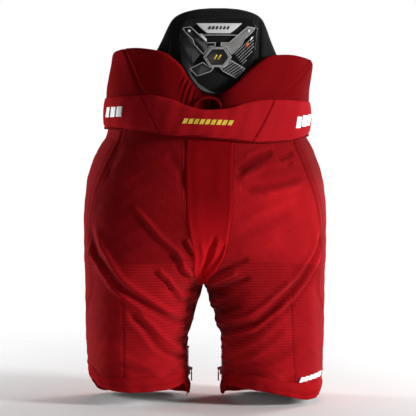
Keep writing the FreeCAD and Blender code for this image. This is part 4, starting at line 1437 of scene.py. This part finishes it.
# CAD pieces whose shape is right get their finish
finishes = {
    "hip_guard_shell": guardGrey, "tailbone_guard_shell": guardGrey, "left_thigh_guard_shell": guardGrey,
    "right_thigh_guard_shell": guardGrey, "buckle_frame": hardBlack, "buckle_lever": hardBlack,
    "buckle_pin": zipMetal, "strap_keeper": hardBlack,
}
for word in ("left", "right"):
    finishes.update({word + "_zip_" + part: zipRed for part in ("teeth", "slider", "pull")})
for node, material in finishes.items():
    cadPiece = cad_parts[node]
    for slot in cadPiece.material_slots:
        slot.material = material


# studio
studio = {"floorRadius": 1.5, "floorFade": (0.35, 1.35), "ambient": 0.08}
bpy.ops.mesh.primitive_circle_add(vertices=96, radius=studio["floorRadius"], fill_type="NGON",
                                  location=(0, 0, -0.001))
floor = bpy.context.object
floor.name = "studioFloor"
floorMaterial, tree, floorShader = newMaterial("studioFloor")
setSockets(floorShader, {"Base Color": (0.95, 0.95, 0.95, 1), "Roughness": 0.85, "Specular IOR Level": 0.1})
floorPlace = addNode(tree, "ShaderNodeTexCoord")
reach = addNode(tree, "ShaderNodeVectorMath", operation="LENGTH")
tree.links.new(floorPlace.outputs["Object"], reach.inputs[0])
fade = addNode(tree, "ShaderNodeMapRange", interpolation_type="SMOOTHSTEP")
setSockets(fade, {"From Min": studio["floorFade"][0], "From Max": studio["floorFade"][1], "To Min": 1.0,
                  "To Max": 0.0})
tree.links.new(reach.outputs["Value"], fade.inputs[0])
tree.links.new(fade.outputs[0], floorShader.inputs["Alpha"])
floor.data.materials.append(floorMaterial)

lights = [
    ("keyLight", (2.7, -1.25, 0.95), (0.05, 0, 0.42), 0.7, 94),
    ("fillLight", (-0.5, -3.2, 0.5), (0, 0, 0.32), 1.2, 8),
    ("rightRim", (1.4, 1.3, 0.5), (0.15, 0, 0.30), 0.6, 26),
    ("leftRim", (-1.7, 0.9, 0.4), (-0.15, 0, 0.22), 0.6, 30),
    ("topLight", (0.2, 0.5, 2.4), (0, 0, 0.5), 1.4, 10),
]
for name, place, aim, size, power in lights:
    data = bpy.data.lights.new(name, "AREA")
    data.shape = "SQUARE"
    data.size = size
    data.energy = power
    lamp = bpy.data.objects.new(name, data)
    bpy.context.scene.collection.objects.link(lamp)
    lamp.location = place
    toward = np.array(aim) - np.array(place)
    tilt = math.atan2(math.hypot(toward[0], toward[1]), -toward[2])
    lamp.rotation_euler = (tilt, 0, math.atan2(-toward[0], toward[1]))
world = bpy.data.worlds.new("studioWorld")
bpy.context.scene.world = world
world.use_nodes = True
tree = world.node_tree
background = tree.nodes["Background"]
background.inputs[0].default_value = (1, 1, 1, 1)
seen = addNode(tree, "ShaderNodeLightPath")
tree.links.new(rangeNode(tree, seen.outputs["Is Camera Ray"], studio["ambient"], 1.0), background.inputs[1])
bpy.context.scene.view_settings.view_transform = "Standard"
print("studio lit")
